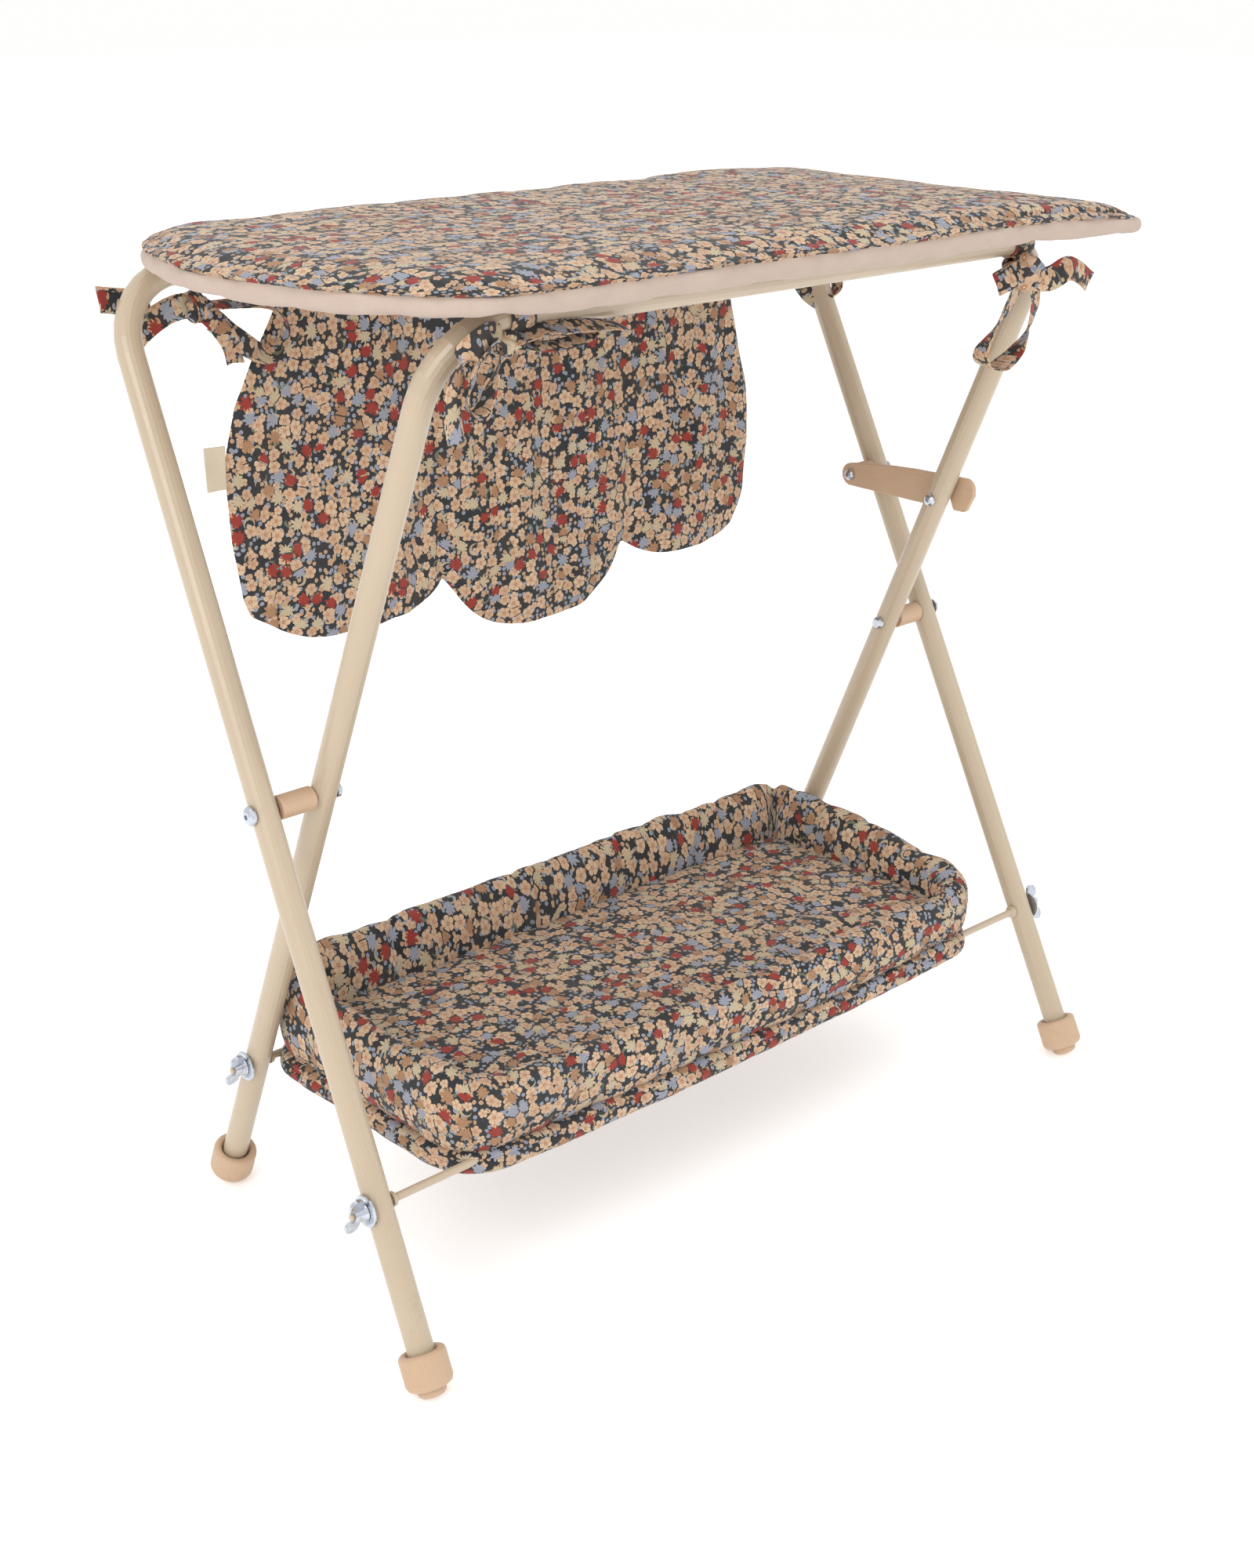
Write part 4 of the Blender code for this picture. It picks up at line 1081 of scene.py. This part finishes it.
def side_label():
    """A short woven tape with nothing on it."""
    low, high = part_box("side_label")
    middle_x, middle_y = (low.x + high.x) / 2 + 2 * MM, (low.y + high.y) / 2
    turns = [TURN * k / 12 for k in range(13)]
    steps = 24
    rows, flats = [], []
    for i in range(steps):
        t = i / (steps - 1)
        row = []
        for a in turns[:-1]:
            s = math.copysign(abs(math.cos(a)) ** 0.4, math.cos(a))
            h = math.copysign(abs(math.sin(a)) ** 0.4, math.sin(a))
            curl = 0.9 * MM * math.sin(2.2 * t + s) - 0.6 * MM * s
            x = middle_x + s * (high.x - low.x) / 2
            row.append((x, middle_y + h * 0.5 * MM + curl, low.z + (high.z - low.z) * t))
        rows.append(row)
        flats.append([(math.cos(a) * 0.008, t * 0.027) for a in turns])
    piece = loft("blank_label", np.array(rows), np.array(flats), caps=(0, -1))
    subdivide(piece)
    piece.data.materials.append(LABEL)
    return piece


# ---------------------------------------------------------------- make and mount everything

pad_top, pad_underside = changing_pad()
for piece, slot in ((pad_top, "print_fabric"), (pad_underside, "plain_fabric")):
    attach(piece, OUTER_BODY)
    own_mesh(piece)
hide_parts("changing_pad")

walls, hem, cushion = basket()
for piece in (walls, hem, cushion):
    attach(piece, OUTER_BODY)
    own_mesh(piece)
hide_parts("basket")

cloth, sleeve = organizer()
for piece in (cloth, sleeve):
    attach(piece, OUTER_BODY)
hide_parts("organizer")

for piece, node, body in (
    (tie_front_left(), "tie_front_left", INNER_BODY),
    (tie_front_right(), "tie_front_right", INNER_BODY),
    (tie_back_left(), "tie_back_left", OUTER_BODY),
    (tie_back_right(), "tie_back_right", OUTER_BODY),
):
    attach(piece, body)
    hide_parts(node)

label = side_label()
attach(label, OUTER_BODY)
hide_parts("side_label")


# ---------------------------------------------------------------- studio

def area_light(name, place, aim, size, power, color=(1, 1, 1)):
    data = bpy.data.lights.new(name, "AREA")
    data.shape = "RECTANGLE"
    data.size, data.size_y = size
    data.energy = power
    data.color = color
    lamp = bpy.data.objects.new(name, data)
    lamp.location = place
    lamp.rotation_mode = "QUATERNION"
    lamp.rotation_quaternion = (Vector(aim) - Vector(place)).to_track_quat("-Z", "Y")
    bpy.context.scene.collection.objects.link(lamp)


FLOOR_HALF = 12.0


def studio():
    """A white floor, a white surround and three soft lamps."""
    mesh = bpy.data.meshes.new("floor")
    corners = [(x * FLOOR_HALF, y * FLOOR_HALF, 0) for x, y in ((-1, -1), (1, -1), (1, 1), (-1, 1))]
    mesh.from_pydata(corners, [], [(0, 1, 2, 3)])
    mesh.materials.append(floor_paint())
    floor = bpy.data.objects.new("floor", mesh)
    bpy.context.scene.collection.objects.link(floor)

    world = bpy.data.worlds.new("studio")
    world.use_nodes = True
    sky = world.node_tree.nodes["Background"]
    sky.inputs["Color"].default_value = (1.0, 0.995, 0.985, 1)
    sky.inputs["Strength"].default_value = 1.0
    bpy.context.scene.view_settings.view_transform = "Standard"
    bpy.context.scene.world = world
    area_light("key", (-2.1, -1.0, 1.7), (0, 0, 0.35), (1.0, 1.4), 21, (1.0, 0.985, 0.965))
    area_light("top", (0.2, -0.2, 2.4), (0, 0, 0.3), (2.2, 2.2), 9)
    area_light("fill", (1.6, -2.0, 1.0), (0, 0, 0.3), (1.4, 1.4), 4)


def camera():
    """Three quarters from the front and the left end, a little from above."""
    turn, tilt = 0.7477088955, 0.3472140514     # radians to the right of +Y, and downwards
    data = bpy.data.cameras.new("camera")
    data.sensor_width = 36
    data.lens = 50.528
    data.shift_x, data.shift_y = 0.01033, -0.03848
    data.clip_start = 0.01
    eye = bpy.data.objects.new("camera", data)
    eye.location = (-0.92153677, -0.96974441, 0.77407554)
    flat = math.cos(tilt)
    look = Vector((math.sin(turn) * flat, math.cos(turn) * flat, -math.sin(tilt)))
    eye.rotation_mode = "QUATERNION"
    eye.rotation_quaternion = look.to_track_quat("-Z", "Y")
    bpy.context.scene.collection.objects.link(eye)
    bpy.context.scene.camera = eye


studio()
camera()
